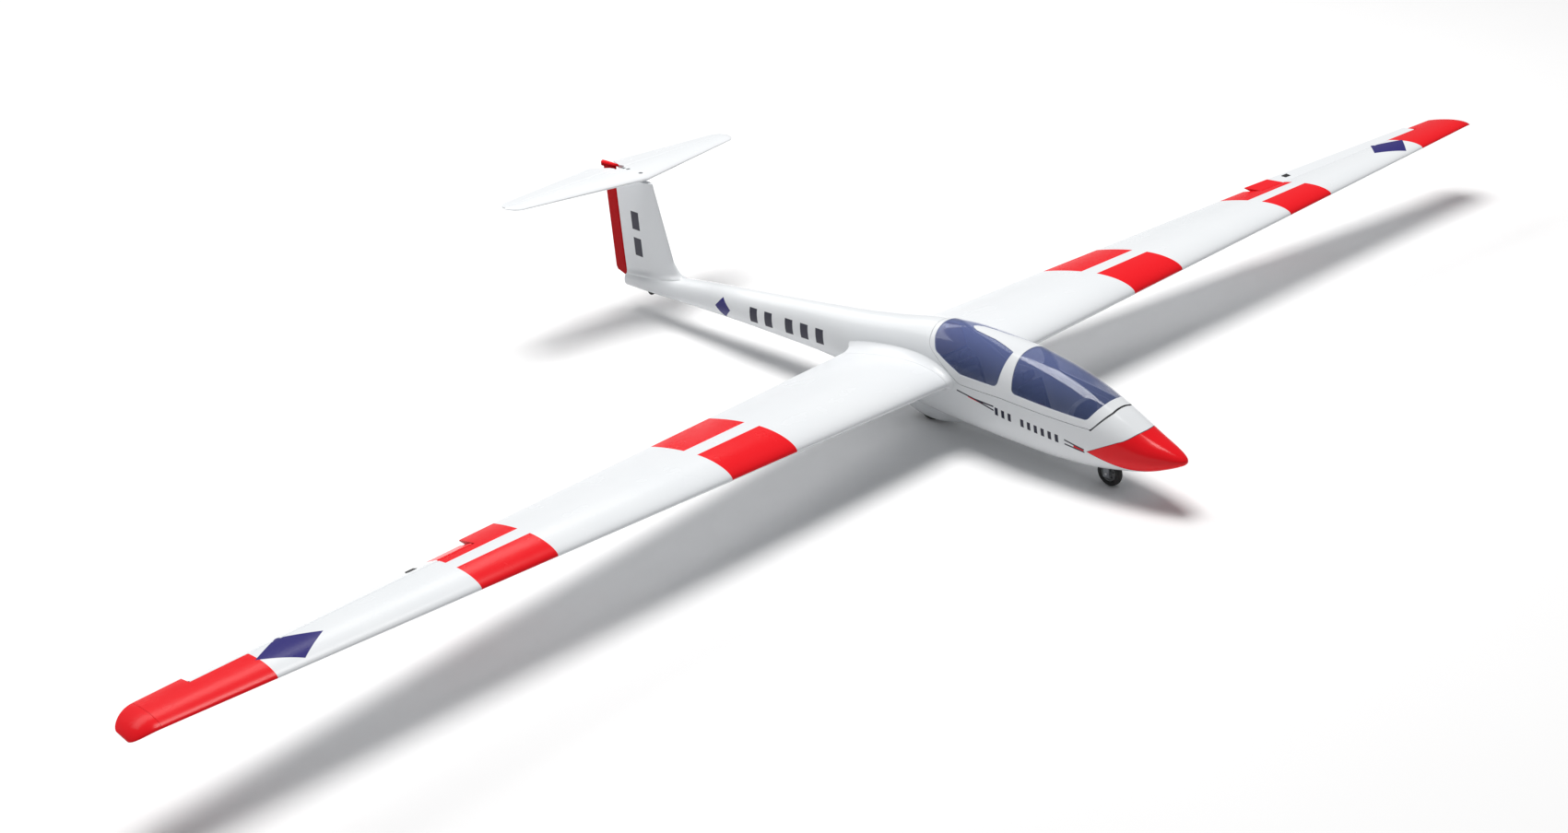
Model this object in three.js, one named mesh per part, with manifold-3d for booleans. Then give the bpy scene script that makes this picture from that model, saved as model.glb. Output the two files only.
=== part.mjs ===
// Radio-controlled model of a two-seat training glider: mid wing, T-tail, nose and main wheel in line.
// Millimetres. The nose points to -Y, the left wing to +X, up is +Z. The ground is z = 0.
import * as THREE from 'three';
import { mergeVertices } from 'three/addons/utils/BufferGeometryUtils.js';
import { ParametricGeometry } from 'three/addons/geometries/ParametricGeometry.js';
import Module from 'manifold-3d';

const wasm = await Module();
wasm.setup();

// ---------------------------------------------------------------- driving dimensions
const GAP = 0.3; // clearance between pieces that touch
const SKIN = 2; // wall of the fuselage shell
const DEG = Math.PI / 180;

const SPAN = 2600;
const DIHEDRAL = 1.9 * DEG;
const INCIDENCE = 2.5 * DEG;
const WING_Z = 102; // chord line at the leading edge, on the centre line
const ROOT_X = 62; // wing panels start here, on the fuselage's root fairings
const KINK_X = 790; // the taper grows outboard of this station
const CAP_X = 1267; // the tip cap starts here
const TIP_DROOP = 10;
const WING_CAMBER = 0.025;

const AILERON_INNER_X = 806;
const AILERON_OUTER_X = 1204;
const CABLE_TOP_Y = 816; // the elevator's cable leaves the fin here
const ELEVATOR_SERVO = { x: -18, y: 116 };
const AILERON_HINGE = 0.76; // share of the chord
const AILERON_REST = 12 * DEG; // left aileron up, right aileron down

const FIN_HINGE_Y = 843;
const RUDDER_END_Y = 874;
const RUDDER_BOTTOM_Z = 61;
const FIN_TOP_Z = 248;
const TAIL_Z = 256; // chord plane of the tailplane
const TAIL_HALF_SPAN = 240;
const ELEVATOR_HINGE_Y = 830;

const NOSE_WHEEL = { y: -250, radius: 20, width: 12 };
const MAIN_WHEEL = { y: 95, radius: 27.5, width: 15 };
const TAIL_WHEEL = { y: 779, z: 47, radius: 9, width: 5 };
const JOINER = { y: 62, z: 105, radius: 5, reach: 322 };

// Fuselage outline: station y, top z, bottom z, half width.
const HULL = [
  [-382, 75.5, 75.5, 0],
  [-379.5, 80, 71.5, 5],
  [-374, 83, 68, 10.5],
  [-358, 89.5, 60, 18.5],
  [-330, 99, 49, 28.5],
  [-280, 121, 36.5, 39.5],
  [-220, 146, 27, 48],
  [-150, 163, 23.5, 53],
  [-80, 172.5, 24, 54.5],
  [0, 176, 25, 53],
  [80, 168, 29, 48.5],
  [160, 153.5, 40, 42],
  [240, 141, 49, 36],
  [350, 128, 53.5, 30],
  [480, 113.5, 53.5, 26],
  [620, 98, 51, 22],
  [760, 80, 46, 17],
  [838, 68.5, 43.5, 12.5],
];
const HULL_STATIONS = [
  -382, -380, -374, -362, -340, -308, -266, -222, -175, -120, -65, -10,
  45, 100, 155, 210, 270, 350, 440, 540, 650, 760, 838,
];
const HULL_AROUND = 24;
const HULL_SQUARENESS = 2.25; // superellipse power of the cross section
const HULL_WAIST = 0.47; // widest point, as a share of the height

// ---------------------------------------------------------------- colours
const WHITE = { color: '#f2f2f0', roughness: 0.2, metalness: 0 };
const RED = { color: '#dd1f2b', roughness: 0.25, metalness: 0 };
const TINT = { color: '#4c5482', roughness: 0.08, metalness: 0 };
const BLACK = { color: '#1b1b1d', roughness: 0.5, metalness: 0 };
const TYRE = { color: '#1f1f20', roughness: 0.85, metalness: 0 };
const GREY = { color: '#8d9196', roughness: 0.5, metalness: 0 };
const CLOTH = { color: '#2d3040', roughness: 0.9, metalness: 0 };
const PLY = { color: '#c9a877', roughness: 0.7, metalness: 0 };
const STEEL = { color: '#b9bcc0', roughness: 0.3, metalness: 0.9 };
const BLUE = { color: '#26456f', roughness: 0.35, metalness: 0 };

// ---------------------------------------------------------------- solids
/** A closed geometry as a manifold solid, with its faces pointing out. */
function solid(geometry) {
  const bare = geometry.index ? geometry.toNonIndexed() : geometry.clone();
  bare.deleteAttribute('normal');
  bare.deleteAttribute('uv');
  const merged = mergeVertices(bare, 1e-3);
  const index = merged.index.array;
  const kept = [];
  for (let i = 0; i < index.length; i += 3) {
    const [a, b, c] = [index[i], index[i + 1], index[i + 2]];
    if (a !== b && b !== c && c !== a) kept.push(a, b, c);
  }
  const points = merged.attributes.position.array;
  if (signedVolume(points, kept) < 0) kept.reverse();
  return new wasm.Manifold(new wasm.Mesh({
    numProp: 3,
    vertProperties: new Float32Array(points),
    triVerts: new Uint32Array(kept),
  }));
}

function signedVolume(points, index) {
  const [a, b, c] = [new THREE.Vector3(), new THREE.Vector3(), new THREE.Vector3()];
  let volume = 0;
  for (let i = 0; i < index.length; i += 3) {
    a.fromArray(points, 3 * index[i]);
    b.fromArray(points, 3 * index[i + 1]);
    c.fromArray(points, 3 * index[i + 2]);
    volume += a.dot(b.cross(c)) / 6;
  }
  return volume;
}

/** A named mesh from a geometry or a manifold solid. */
function piece(name, shape, finish) {
  const body = shape.getMesh ? shape : solid(shape);
  const { vertProperties, triVerts } = body.getMesh();
  const geometry = new THREE.BufferGeometry();
  geometry.setAttribute('position', new THREE.BufferAttribute(new Float32Array(vertProperties), 3));
  geometry.setIndex(new THREE.BufferAttribute(new Uint32Array(triVerts), 1));
  geometry.computeVertexNormals();
  const mesh = new THREE.Mesh(geometry, new THREE.MeshStandardMaterial(finish));
  mesh.name = name;
  return mesh;
}

function at(object, x, y, z) {
  object.position.set(x, y, z);
  return object;
}

function assembly(...members) {
  const group = new THREE.Group();
  group.add(...members);
  return group;
}

/** A closed surface through rings of equal length, with flat ends. */
function loft(rings) {
  const middle = (ring) => {
    const centre = ring.reduce((sum, p) => sum.add(p), new THREE.Vector3()).divideScalar(ring.length);
    return ring.map(() => centre);
  };
  const rows = [middle(rings[0]), ...rings, middle(rings.at(-1))];
  const around = rings[0].length;
  const surface = (u, v, target) => {
    const row = rows[Math.round(v * (rows.length - 1))];
    target.copy(row[Math.round(u * around) % around]);
  };
  return new ParametricGeometry(surface, around, rows.length - 1);
}

function block(x0, x1, y0, y1, z0, z1) {
  const box = new THREE.BoxGeometry(x1 - x0, y1 - y0, z1 - z0);
  return box.translate((x0 + x1) / 2, (y0 + y1) / 2, (z0 + z1) / 2);
}

/** A cylinder from one point to another. */
function rod(from, to, radius, sides = 12) {
  const axis = to.clone().sub(from);
  const cylinder = new THREE.CylinderGeometry(radius, radius, axis.length(), sides);
  const upright = new THREE.Vector3(0, 1, 0);
  const turn = new THREE.Quaternion().setFromUnitVectors(upright, axis.clone().normalize());
  const middle = from.clone().addScaledVector(axis, 0.5);
  return cylinder.applyQuaternion(turn).translate(middle.x, middle.y, middle.z);
}

/** A cylinder along x, centred on the origin. */
const acrossRod = (halfLength, radius, sides) =>
  rod(new THREE.Vector3(-halfLength, 0, 0), new THREE.Vector3(halfLength, 0, 0), radius, sides);

/** A vertical cylinder in the fuselage's plane of symmetry. */
const bolt = (y, radius, z0, z1) =>
  rod(new THREE.Vector3(0, y, z0), new THREE.Vector3(0, y, z1), radius);

/** A side outline in y and z, extruded across the fuselage to both sides. */
function sideExtrusion(points, halfWidth) {
  const shape = new THREE.Shape(points.map(([y, z]) => new THREE.Vector2(y, z)));
  const geometry = new THREE.ExtrudeGeometry(shape, { depth: 2 * halfWidth, bevelEnabled: false });
  // shape x becomes y, shape y becomes z, depth becomes x
  const turn = new THREE.Matrix4().makeBasis(
    new THREE.Vector3(0, 1, 0), new THREE.Vector3(0, 0, 1), new THREE.Vector3(1, 0, 0));
  return geometry.applyMatrix4(turn).translate(-halfWidth, 0, 0);
}

/** A front outline in x and z, extruded along y. */
function frontExtrusion(points, y0, y1) {
  const shape = new THREE.Shape(points.map(([x, z]) => new THREE.Vector2(x, z)));
  const geometry = new THREE.ExtrudeGeometry(shape, { depth: y1 - y0, bevelEnabled: false });
  return geometry.rotateX(Math.PI / 2).translate(0, y1, 0);
}

// ---------------------------------------------------------------- smooth curves and sections
/** Monotone cubic through column `column` of a table whose column 0 rises. */
function smooth(table, column, at) {
  const last = table.length - 1;
  if (at <= table[0][0]) return table[0][column];
  if (at >= table[last][0]) return table[last][column];
  const step = (i) => table[i + 1][0] - table[i][0];
  const rise = (i) => (table[i + 1][column] - table[i][column]) / step(i);
  const slope = (i) => {
    if (i === 0) return rise(0);
    if (i === last) return rise(last - 1);
    const [before, after] = [rise(i - 1), rise(i)];
    if (before * after <= 0) return 0;
    const [w0, w1] = [2 * step(i) + step(i - 1), step(i) + 2 * step(i - 1)];
    return (w0 + w1) / (w0 / before + w1 / after);
  };
  let i = 0;
  while (at > table[i + 1][0]) i += 1;
  const h = step(i);
  const t = (at - table[i][0]) / h;
  return (2 * t ** 3 - 3 * t ** 2 + 1) * table[i][column] + (t ** 3 - 2 * t ** 2 + t) * h * slope(i)
    + (3 * t ** 2 - 2 * t ** 3) * table[i + 1][column] + (t ** 3 - t ** 2) * h * slope(i + 1);
}

function hullRing(y, inset) {
  const top = smooth(HULL, 1, y) - inset;
  const bottom = smooth(HULL, 2, y) + inset;
  const half = Math.max(smooth(HULL, 3, y) - inset, 0);
  const waist = bottom + HULL_WAIST * (top - bottom);
  const bulge = (value) => Math.sign(value) * Math.abs(value) ** (2 / HULL_SQUARENESS);
  return Array.from({ length: HULL_AROUND }, (_, k) => {
    const angle = 2 * Math.PI * k / HULL_AROUND;
    const up = Math.sin(angle);
    const reach = up > 0 ? top - waist : waist - bottom;
    return new THREE.Vector3(half * bulge(Math.cos(angle)), y, waist + reach * bulge(up));
  });
}

/** The fuselage's outer form, or the form a distance inside it, between two stations. */
function hullForm(inset, from = HULL_STATIONS[0], to = HULL_STATIONS.at(-1)) {
  const between = HULL_STATIONS.filter((y) => y > from && y < to);
  return solid(loft([from, ...between, to].map((y) => hullRing(y, inset))));
}

const FOIL_SHARES = [0, 0.012, 0.04, 0.09, 0.17, 0.28, 0.4, 0.55, 0.7, 0.85, 1];

/** Height of the upper (side 1) or lower (side -1) surface of a cambered section, chord 1. */
function foilHeight(share, side, thickness, camber) {
  const s = Math.min(Math.max(share, 0), 1);
  const half = 5 * thickness
    * (0.2969 * Math.sqrt(s) - 0.126 * s - 0.3516 * s ** 2 + 0.2843 * s ** 3 - 0.1015 * s ** 4);
  const peak = 0.4;
  const mean = s < peak
    ? camber / peak ** 2 * (2 * peak * s - s ** 2)
    : camber / (1 - peak) ** 2 * (1 - 2 * peak + 2 * peak * s - s ** 2);
  return mean + side * half;
}

/** Section points (share of chord, height): from the end over the top to the nose and back below. */
function foilOutline(thickness, camber, edge, end = 1) {
  const shares = FOIL_SHARES.map((s) => s * end);
  const point = (s, side) => [s, foilHeight(s, side, thickness, camber) + side * edge * s];
  return [
    ...shares.slice().reverse().map((s) => point(s, 1)),
    ...shares.slice(1).map((s) => point(s, -1)),
  ];
}

// ---------------------------------------------------------------- wing geometry
const sideName = (side) => (side > 0 ? 'left' : 'right');
const leadingY = (x) => -2 - 0.013 * x;
const trailingY = (x) => 227 - 0.126 * Math.min(x, KINK_X) - 0.142 * Math.max(x - KINK_X, 0);
const chordAt = (x) => trailingY(x) - leadingY(x);
const thicknessAt = (x) => 0.15 - 0.03 * x / (SPAN / 2);
const EDGE = 0.5; // half thickness of every trailing edge

/** A point of the wing at span station x (positive), share of chord and height above the chord line. */
function wingPoint(side, x, share, height) {
  const chord = chordAt(x);
  return new THREE.Vector3(
    side * x,
    leadingY(x) + chord * (share * Math.cos(INCIDENCE) + height * Math.sin(INCIDENCE)),
    WING_Z + x * Math.tan(DIHEDRAL) + chord * (height * Math.cos(INCIDENCE) - share * Math.sin(INCIDENCE)),
  );
}

function wingRing(side, x, end = 1) {
  return foilOutline(thicknessAt(x), WING_CAMBER, EDGE / chordAt(x), end)
    .map(([share, height]) => wingPoint(side, x, share, height));
}

/** The wing's surface at a station and share of chord; face is 1 for the top and -1 for the bottom. */
function wingSurface(side, x, share, face) {
  const height = foilHeight(share, face, thicknessAt(x), WING_CAMBER) + face * EDGE / chordAt(x) * share;
  return wingPoint(side, x, share, height);
}

/** Middle of the wing's thickness on the aileron's hinge line. */
function aileronAxisPoint(side, x) {
  const top = wingSurface(side, x, AILERON_HINGE, 1);
  return top.add(wingSurface(side, x, AILERON_HINGE, -1)).multiplyScalar(0.5);
}

const hingeRadius = (x) => {
  const top = wingSurface(1, x, AILERON_HINGE, 1);
  return top.distanceTo(wingSurface(1, x, AILERON_HINGE, -1)) / 2 - 0.1;
};

/** A control surface's section: a round nose about its hinge, and flat sides to the trailing edge. */
function flapRing(hinge, radius, end, edge) {
  const back = end.clone().sub(hinge).normalize();
  const up = new THREE.Vector3(1, 0, 0).cross(back).normalize();
  const ring = [];
  const steps = 6;
  for (let k = 0; k <= steps; k += 1) {
    const angle = Math.PI / 2 + Math.PI * k / steps;
    const ahead = hinge.clone().addScaledVector(back, radius * Math.cos(angle));
    ring.push(ahead.addScaledVector(up, radius * Math.sin(angle)));
  }
  ring.push(end.clone().addScaledVector(up, -edge), end.clone().addScaledVector(up, edge));
  return ring;
}

/** Turns a geometry about a line through a point. */
function turnAbout(geometry, point, axis, angle) {
  geometry.translate(-point.x, -point.y, -point.z);
  geometry.applyQuaternion(new THREE.Quaternion().setFromAxisAngle(axis, angle));
  return geometry.translate(point.x, point.y, point.z);
}

// ---------------------------------------------------------------- servo linkages
const SERVO = { length: 23, depth: 22, half: 4, nearEnd: 6, lid: 2, ear: 4.5, earTop: 7, earThickness: 2 };

/** Servo case with its two mounting ears and round output boss, shaft along +z at the origin. */
function servoCase() {
  const { length, depth, half, nearEnd, lid, ear, earTop, earThickness } = SERVO;
  const farEnd = length - nearEnd;
  const body = solid(block(-nearEnd, farEnd, -half, half, -depth - lid, -lid));
  const ears = solid(block(-nearEnd - ear, farEnd + ear, -half, half, -earTop - earThickness, -earTop));
  const boss = solid(rod(new THREE.Vector3(0, 0, -lid - 1), new THREE.Vector3(0, 0, -0.4), 3.6));
  return body.add(ears).add(boss);
}

/** Servo arm about +z at the origin, reaching along +x. */
function servoArm(reach) {
  const halfWidth = 1.7;
  const [low, high] = [0.2, 1.8];
  const hub = solid(rod(new THREE.Vector3(0, 0, 0), new THREE.Vector3(0, 0, 2.4), 2 * halfWidth));
  const blade = solid(block(0, reach, -halfWidth, halfWidth, low, high));
  const end = solid(rod(new THREE.Vector3(reach, 0, low), new THREE.Vector3(reach, 0, high), halfWidth));
  return hub.add(blade).add(end);
}

/** A pushrod wire with a clevis block at each end. */
function pushrod(from, to) {
  const along = to.clone().sub(from).normalize();
  const wire = solid(rod(from, to, 0.8, 8));
  const clevis = (pivot, inward) => {
    const outerEnd = pivot.clone().addScaledVector(inward, -2.2);
    return solid(rod(outerEnd, pivot.clone().addScaledVector(inward, 8), 1.7, 8));
  };
  return wire.add(clevis(from, along)).add(clevis(to, along.clone().negate()));
}

// ---------------------------------------------------------------- fuselage
const HOLLOW = { front: HULL_STATIONS[2], rear: 832 };

/** Side outlines of the canopy hatch and its two windows, y and z. */
const HATCH = [
  [-252, 100], [-272, 122], [-272, 200], [64, 200], [60, 172], [51, 146], [-18, 107], [-99, 108],
];
const FRONT_WINDOW = [[-118, 120], [-111, 166], [-110, 200], [-258, 200], [-257, 131], [-244, 111]];
const REAR_WINDOW = [
  [-91, 122], [-97, 166], [-98, 200], [52, 200], [50, 172], [46, 159], [35, 142], [-19, 122],
];
const FLOOR_Z = 52; // top of the cockpit floor

/** Moves an outline's points away from its middle (positive) or towards it. */
function grow(outline, distance) {
  const count = outline.length;
  const area = outline.reduce((sum, [y, z], i) => {
    const [y1, z1] = outline[(i + 1) % count];
    return sum + y * z1 - y1 * z;
  }, 0);
  const sense = Math.sign(area) * distance;
  const normal = ([y0, z0], [y1, z1]) => {
    const length = Math.hypot(y1 - y0, z1 - z0);
    return [(z1 - z0) / length, -(y1 - y0) / length];
  };
  return outline.map((p, i) => {
    const a = normal(outline[(i + count - 1) % count], p);
    const b = normal(p, outline[(i + 1) % count]);
    const scale = sense / (1 + a[0] * b[0] + a[1] * b[1]);
    return [p[0] + (a[0] + b[0]) * scale, p[1] + (a[1] + b[1]) * scale];
  });
}

const prism = (outline) => solid(sideExtrusion(outline, 80));
const tube = (outer, inner) => hullForm(outer).subtract(hullForm(inner, HOLLOW.front, HOLLOW.rear));

const finLeadingY = (z) => 700 + 0.264 * (z - 100);
const finThickness = (z) => 15 - 0.02 * (z - 100);
const FIN_EDGE = 1; // half thickness of the section's trailing edge

/** Fin section at height z; narrow makes it thinner all round, rear is where it is cut off. */
function finRing(z, narrow, front, rear) {
  const y0 = finLeadingY(z) + front;
  const chord = RUDDER_END_Y - y0;
  const thickness = (finThickness(z) - 2 * narrow) / chord;
  return foilOutline(thickness, 0, FIN_EDGE / chord, (rear - y0) / chord)
    .map(([share, height]) => new THREE.Vector3(chord * height, y0 + chord * share, z));
}

const RUDDER_NOSE = 3.4; // radius of the rudder's round nose

function finSolid() {
  const rear = FIN_HINGE_Y - RUDDER_NOSE - 0.6;
  const heights = [60, 100, 150, 200, FIN_TOP_Z];
  const fillet = [[62, -46], [80, -34], [92, -16], [104, -5], [116, 0], [130, 0]]
    .map(([z, front]) => finRing(z, 0, front, rear));
  const upper = heights.slice(2).map((z) => finRing(z, 0, 0, rear));
  return solid(loft([...fillet, ...upper]));
}

function finHollow() {
  const rear = FIN_HINGE_Y - 9;
  return solid(loft([66, 110, 170, FIN_TOP_Z - 16].map((z) => finRing(z, 1.7, 12, rear))));
}

/** Root fairings that carry the wing panels, through the fuselage from side to side. */
function rootFairings() {
  const stations = [[-1, ROOT_X], [-1, 30], [1, 0], [1, 30], [1, ROOT_X]];
  return solid(loft(stations.map(([side, x]) => wingRing(side, x))));
}

function joinerLine(side, x) {
  return new THREE.Vector3(side * x, JOINER.y, JOINER.z + x * Math.tan(DIHEDRAL));
}

function joinerRod(radius, reach) {
  const left = solid(rod(joinerLine(1, -2), joinerLine(1, reach), radius));
  const right = solid(rod(joinerLine(-1, -2), joinerLine(-1, reach), radius));
  return left.add(right);
}

const WING_PIN = { share: 0.68, radius: 2, inner: 46, outer: 92 };

function wingPinLine(side, x) {
  const root = wingPoint(side, ROOT_X, WING_PIN.share, 0.02);
  return new THREE.Vector3(side * x, root.y, root.z + (x - ROOT_X) * Math.tan(DIHEDRAL));
}

function wingPinHole(side) {
  const { inner, outer, radius } = WING_PIN;
  return solid(rod(wingPinLine(side, inner - 2), wingPinLine(side, outer + 1), radius + 0.5));
}

const RUDDER_ROD = { x: 15, z: 66, servoY: 148, slotY: 722 };
const SERVO_TOP_Z = 90;

/** Belly fairing that encloses most of the main wheel. */
function bellyFairing() {
  const blister = new THREE.SphereGeometry(1, 20, 12).scale(21, 71, 30);
  return solid(blister.translate(0, MAIN_WHEEL.y - 10, 34));
}

/** The opening for a wheel in the belly, between two heights. */
function wheelWell({ y }, halfWidth, halfLength, bottom, top) {
  return solid(block(-halfWidth, halfWidth, y - halfLength, y + halfLength, bottom, top));
}

/** Slots in the end of the boom: one where the rudder's rod comes out, one where its horn swings. */
function rudderRodSlots() {
  const { x, z, slotY } = RUDDER_ROD;
  const past = FIN_HINGE_Y + 7;
  const outlet = solid(block(x - 6, x + 8, slotY, past, z - 8, z + 2));
  return outlet.add(solid(block(1, x + 8, CABLE_TOP_Y - 4, past, z - 3, z + 3)));
}

function fuselageShell() {
  const outer = hullForm(0).add(rootFairings()).add(finSolid()).add(bellyFairing());
  const tailAxle = solid(acrossRod(12, 1.4).translate(0, TAIL_WHEEL.y, TAIL_WHEEL.z));
  const finTopHoles = [solid(bolt(CABLE_TOP_Y, 2, 220, 260))];
  for (const y of TAIL_BOLTS) finTopHoles.push(solid(bolt(y, 2.1, 220, 260)));
  const cuts = [
    hullForm(SKIN, HOLLOW.front, HOLLOW.rear + 1),
    finHollow(),
    prism(HATCH),
    wheelWell(NOSE_WHEEL, 9.5, 27, 0, 48),
    wheelWell(MAIN_WHEEL, 9.2, 31, 0, 24),
    wheelWell(MAIN_WHEEL, 12, 32, 20, 60),
    wheelWell(TAIL_WHEEL, 4, 12, 0, 60),
    tailAxle,
    joinerRod(JOINER.radius + 0.6, ROOT_X + 5),
    wingPinHole(1),
    wingPinHole(-1),
    rudderRodSlots(),
    ...finTopHoles,
  ];
  return piece('fuselage_shell', cuts.reduce((shell, cut) => shell.subtract(cut), outer), WHITE);
}

/** A flat plate that fills the inside of the fuselage, between two stations and two heights. */
function innerPlate(y0, y1, z0, z1) {
  return solid(block(-80, 80, y0, y1, z0, z1)).intersect(hullForm(SKIN + GAP, HOLLOW.front, HOLLOW.rear));
}

function equipment() {
  const trayTop = SERVO_TOP_Z - SERVO.earTop - SERVO.earThickness - GAP;
  const { half, nearEnd, length } = SERVO;
  const spare = 0.7;
  // a servo turned to point aft hangs by its ears in a well through the tray
  const servoWell = (x, y) => solid(block(
    x - half - spare, x + half + spare, y - nearEnd - spare, y + length - nearEnd + spare, 60, 100));
  const tray = innerPlate(78, 252, trayTop - 2.5, trayTop)
    .subtract(servoWell(0, RUDDER_ROD.servoY))
    .subtract(servoWell(ELEVATOR_SERVO.x, ELEVATOR_SERVO.y));
  return [
    piece('flight_battery', block(-16, 16, -318, -262, FLOOR_Z + GAP, FLOOR_Z + 24), BLUE),
    piece('equipment_tray', tray, PLY),
    piece('receiver', block(-12, 12, 184, 220, trayTop + GAP, trayTop + 11), BLACK),
    piece('cockpit_floor', innerPlate(-330, 46, FLOOR_Z - 2, FLOOR_Z), GREY),
  ];
}

const SQUAB = 10; // height of the seats' flat squabs

/** A bucket seat seen from the side: squab, curved back and headrest. */
function seat(name, y) {
  const outline = [
    [-34, 0], [-37, 7], [-32, SQUAB], [-6, SQUAB], [3, 16], [12, 40], [18, 66], [21, 82],
    [26, 82], [25, 62], [19, 36], [10, 8], [0, 0],
  ];
  return at(piece(name, sideExtrusion(outline, 27), CLOTH), 0, y, FLOOR_Z + GAP);
}

/** An instrument binnacle: a pillar with a hooded, round-topped panel. */
function binnacle(name, y, top, halfWidth) {
  const shoulder = top - 12;
  const right = [
    [9, FLOOR_Z + GAP], [11, shoulder - 22], [halfWidth, shoulder - 14], [halfWidth, shoulder],
    [halfWidth * 0.7, top - 3], [halfWidth * 0.3, top],
  ];
  const left = right.map(([x, z]) => [-x, z]).reverse();
  return piece(name, frontExtrusion([...right, ...left], y, y + 9), BLACK);
}

function cockpit() {
  return [
    seat('front_seat', -122),
    seat('rear_seat', 2),
    binnacle('front_instrument_panel', -208, 116, 25),
    binnacle('rear_instrument_panel', -88, 124, 26),
  ];
}

/** Rear arch of the cockpit opening, with the magnet that holds the hatch. */
function hatchCatch() {
  const z = 162;
  const disc = (y0, y1) => rod(new THREE.Vector3(0, y0, z), new THREE.Vector3(0, y1, z), 3.5, 16);
  return {
    former: piece('cockpit_rear_former', innerPlate(60.5, 63, 114, 170), PLY),
    magnet: piece('former_magnet', disc(57.4, 60.2), STEEL),
    mate: piece('hatch_magnet', disc(52.3, 54.5), STEEL),
  };
}

function canopy(fixture) {
  const wall = tube(0, SKIN);
  const opening = prism(FRONT_WINDOW).add(prism(REAR_WINDOW));
  const inside = hullForm(SKIN - 0.5).intersect(prism(grow(HATCH, -1)));
  const arch = solid(block(-80, 80, 49.5, 52, 150, 200)).intersect(inside);
  const rim = wall.intersect(prism(grow(HATCH, -GAP))).subtract(opening);
  const frame = rim.add(arch.subtract(opening.intersect(wall)));
  const glazing = tube(0.3, 1.5);
  const pane = (outline) => glazing.intersect(prism(grow(outline, -GAP)));
  return assembly(
    piece('canopy_frame', frame, WHITE),
    piece('front_canopy_window', pane(FRONT_WINDOW), TINT),
    piece('rear_canopy_window', pane(REAR_WINDOW), TINT),
    fixture.mate,
  );
}

// ---------------------------------------------------------------- wheels
const WHEEL_SIDES = 18;
const TREAD_STEPS = 6;
const SIDEWALL = 0.62; // the tyre's depth as a share of its width
const AXLE_RADIUS = 1.8;
const BORE = AXLE_RADIUS + GAP;

function tyre(name, radius, width) {
  const section = width / 2;
  const core = radius - width * SIDEWALL;
  const profile = [new THREE.Vector2(core, -section * 0.7)];
  for (let k = 0; k <= TREAD_STEPS; k += 1) {
    const angle = -Math.PI / 2 + Math.PI * k / TREAD_STEPS;
    profile.push(new THREE.Vector2(
      radius - section * 0.8 + section * 0.8 * Math.cos(angle), section * Math.sin(angle)));
  }
  profile.push(new THREE.Vector2(core, section * 0.7), profile[0]);
  return piece(name, new THREE.LatheGeometry(profile, WHEEL_SIDES).rotateZ(Math.PI / 2), TYRE);
}

function hub(name, radius, width, bore) {
  const rim = radius - width * SIDEWALL - GAP;
  const half = width / 2;
  const profile = [
    [bore, -half * 0.9], [bore + 3, -half * 0.9], [bore + 3.5, -half * 0.45], [rim - 2, -half * 0.45],
    [rim, -half * 0.75], [rim, half * 0.75], [rim - 2, half * 0.45], [bore + 3.5, half * 0.45],
    [bore + 3, half * 0.9], [bore, half * 0.9], [bore, -half * 0.9],
  ].map(([r, h]) => new THREE.Vector2(r, h));
  return piece(name, new THREE.LatheGeometry(profile, WHEEL_SIDES).rotateZ(Math.PI / 2), GREY);
}

/** A bracket like an upturned U, its cheeks beside the wheel, drilled for the axle. */
function wheelBracket(name, { y, radius: axleZ }, inner, height, depth) {
  const outer = inner + 2;
  const top = axleZ + height;
  const outline = [
    [-outer, axleZ - 5], [-inner, axleZ - 5], [-inner, top - 2], [inner, top - 2],
    [inner, axleZ - 5], [outer, axleZ - 5], [outer, top], [-outer, top],
  ];
  const body = solid(frontExtrusion(outline, y - depth, y + depth));
  const hole = solid(acrossRod(30, BORE).translate(0, y, axleZ));
  return piece(name, body.subtract(hole), PLY);
}

function tailWheel() {
  const { y, z, radius, width } = TAIL_WHEEL;
  const disc = solid(acrossRod(width / 2, radius, WHEEL_SIDES));
  const axleRadius = 1;
  return [
    at(piece('tail_wheel', disc.subtract(solid(acrossRod(width, axleRadius + GAP))), TYRE), 0, y, z),
    at(piece('tail_wheel_axle', acrossRod(7, axleRadius), STEEL), 0, y, z),
  ];
}

function wheels() {
  const wheel = (name, { y, radius, width }) => at(
    assembly(tyre(`${name}_tyre`, radius, width), hub(`${name}_hub`, radius, width, BORE)), 0, y, radius);
  const axle = (name, { y, radius }, halfLength) =>
    at(piece(name, acrossRod(halfLength, AXLE_RADIUS), STEEL), 0, y, radius);
  return [
    wheel('nose', NOSE_WHEEL),
    wheel('main', MAIN_WHEEL),
    axle('nose_wheel_axle', NOSE_WHEEL, 9.2),
    axle('main_wheel_axle', MAIN_WHEEL, 11.2),
    wheelBracket('nose_wheel_bracket', NOSE_WHEEL, 6.8, 28, 5),
    wheelBracket('main_wheel_bracket', MAIN_WHEEL, 9, 36, 9),
    ...tailWheel(),
  ];
}

// ---------------------------------------------------------------- tail
const tailLeadingY = (x) => 746 + 0.231 * x;
const tailTrailingY = (x) => 885 - 0.147 * x;
const TAIL_THICKNESS = 0.1;
const TAIL_TIP = 18; // length of the rounded tip

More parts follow.
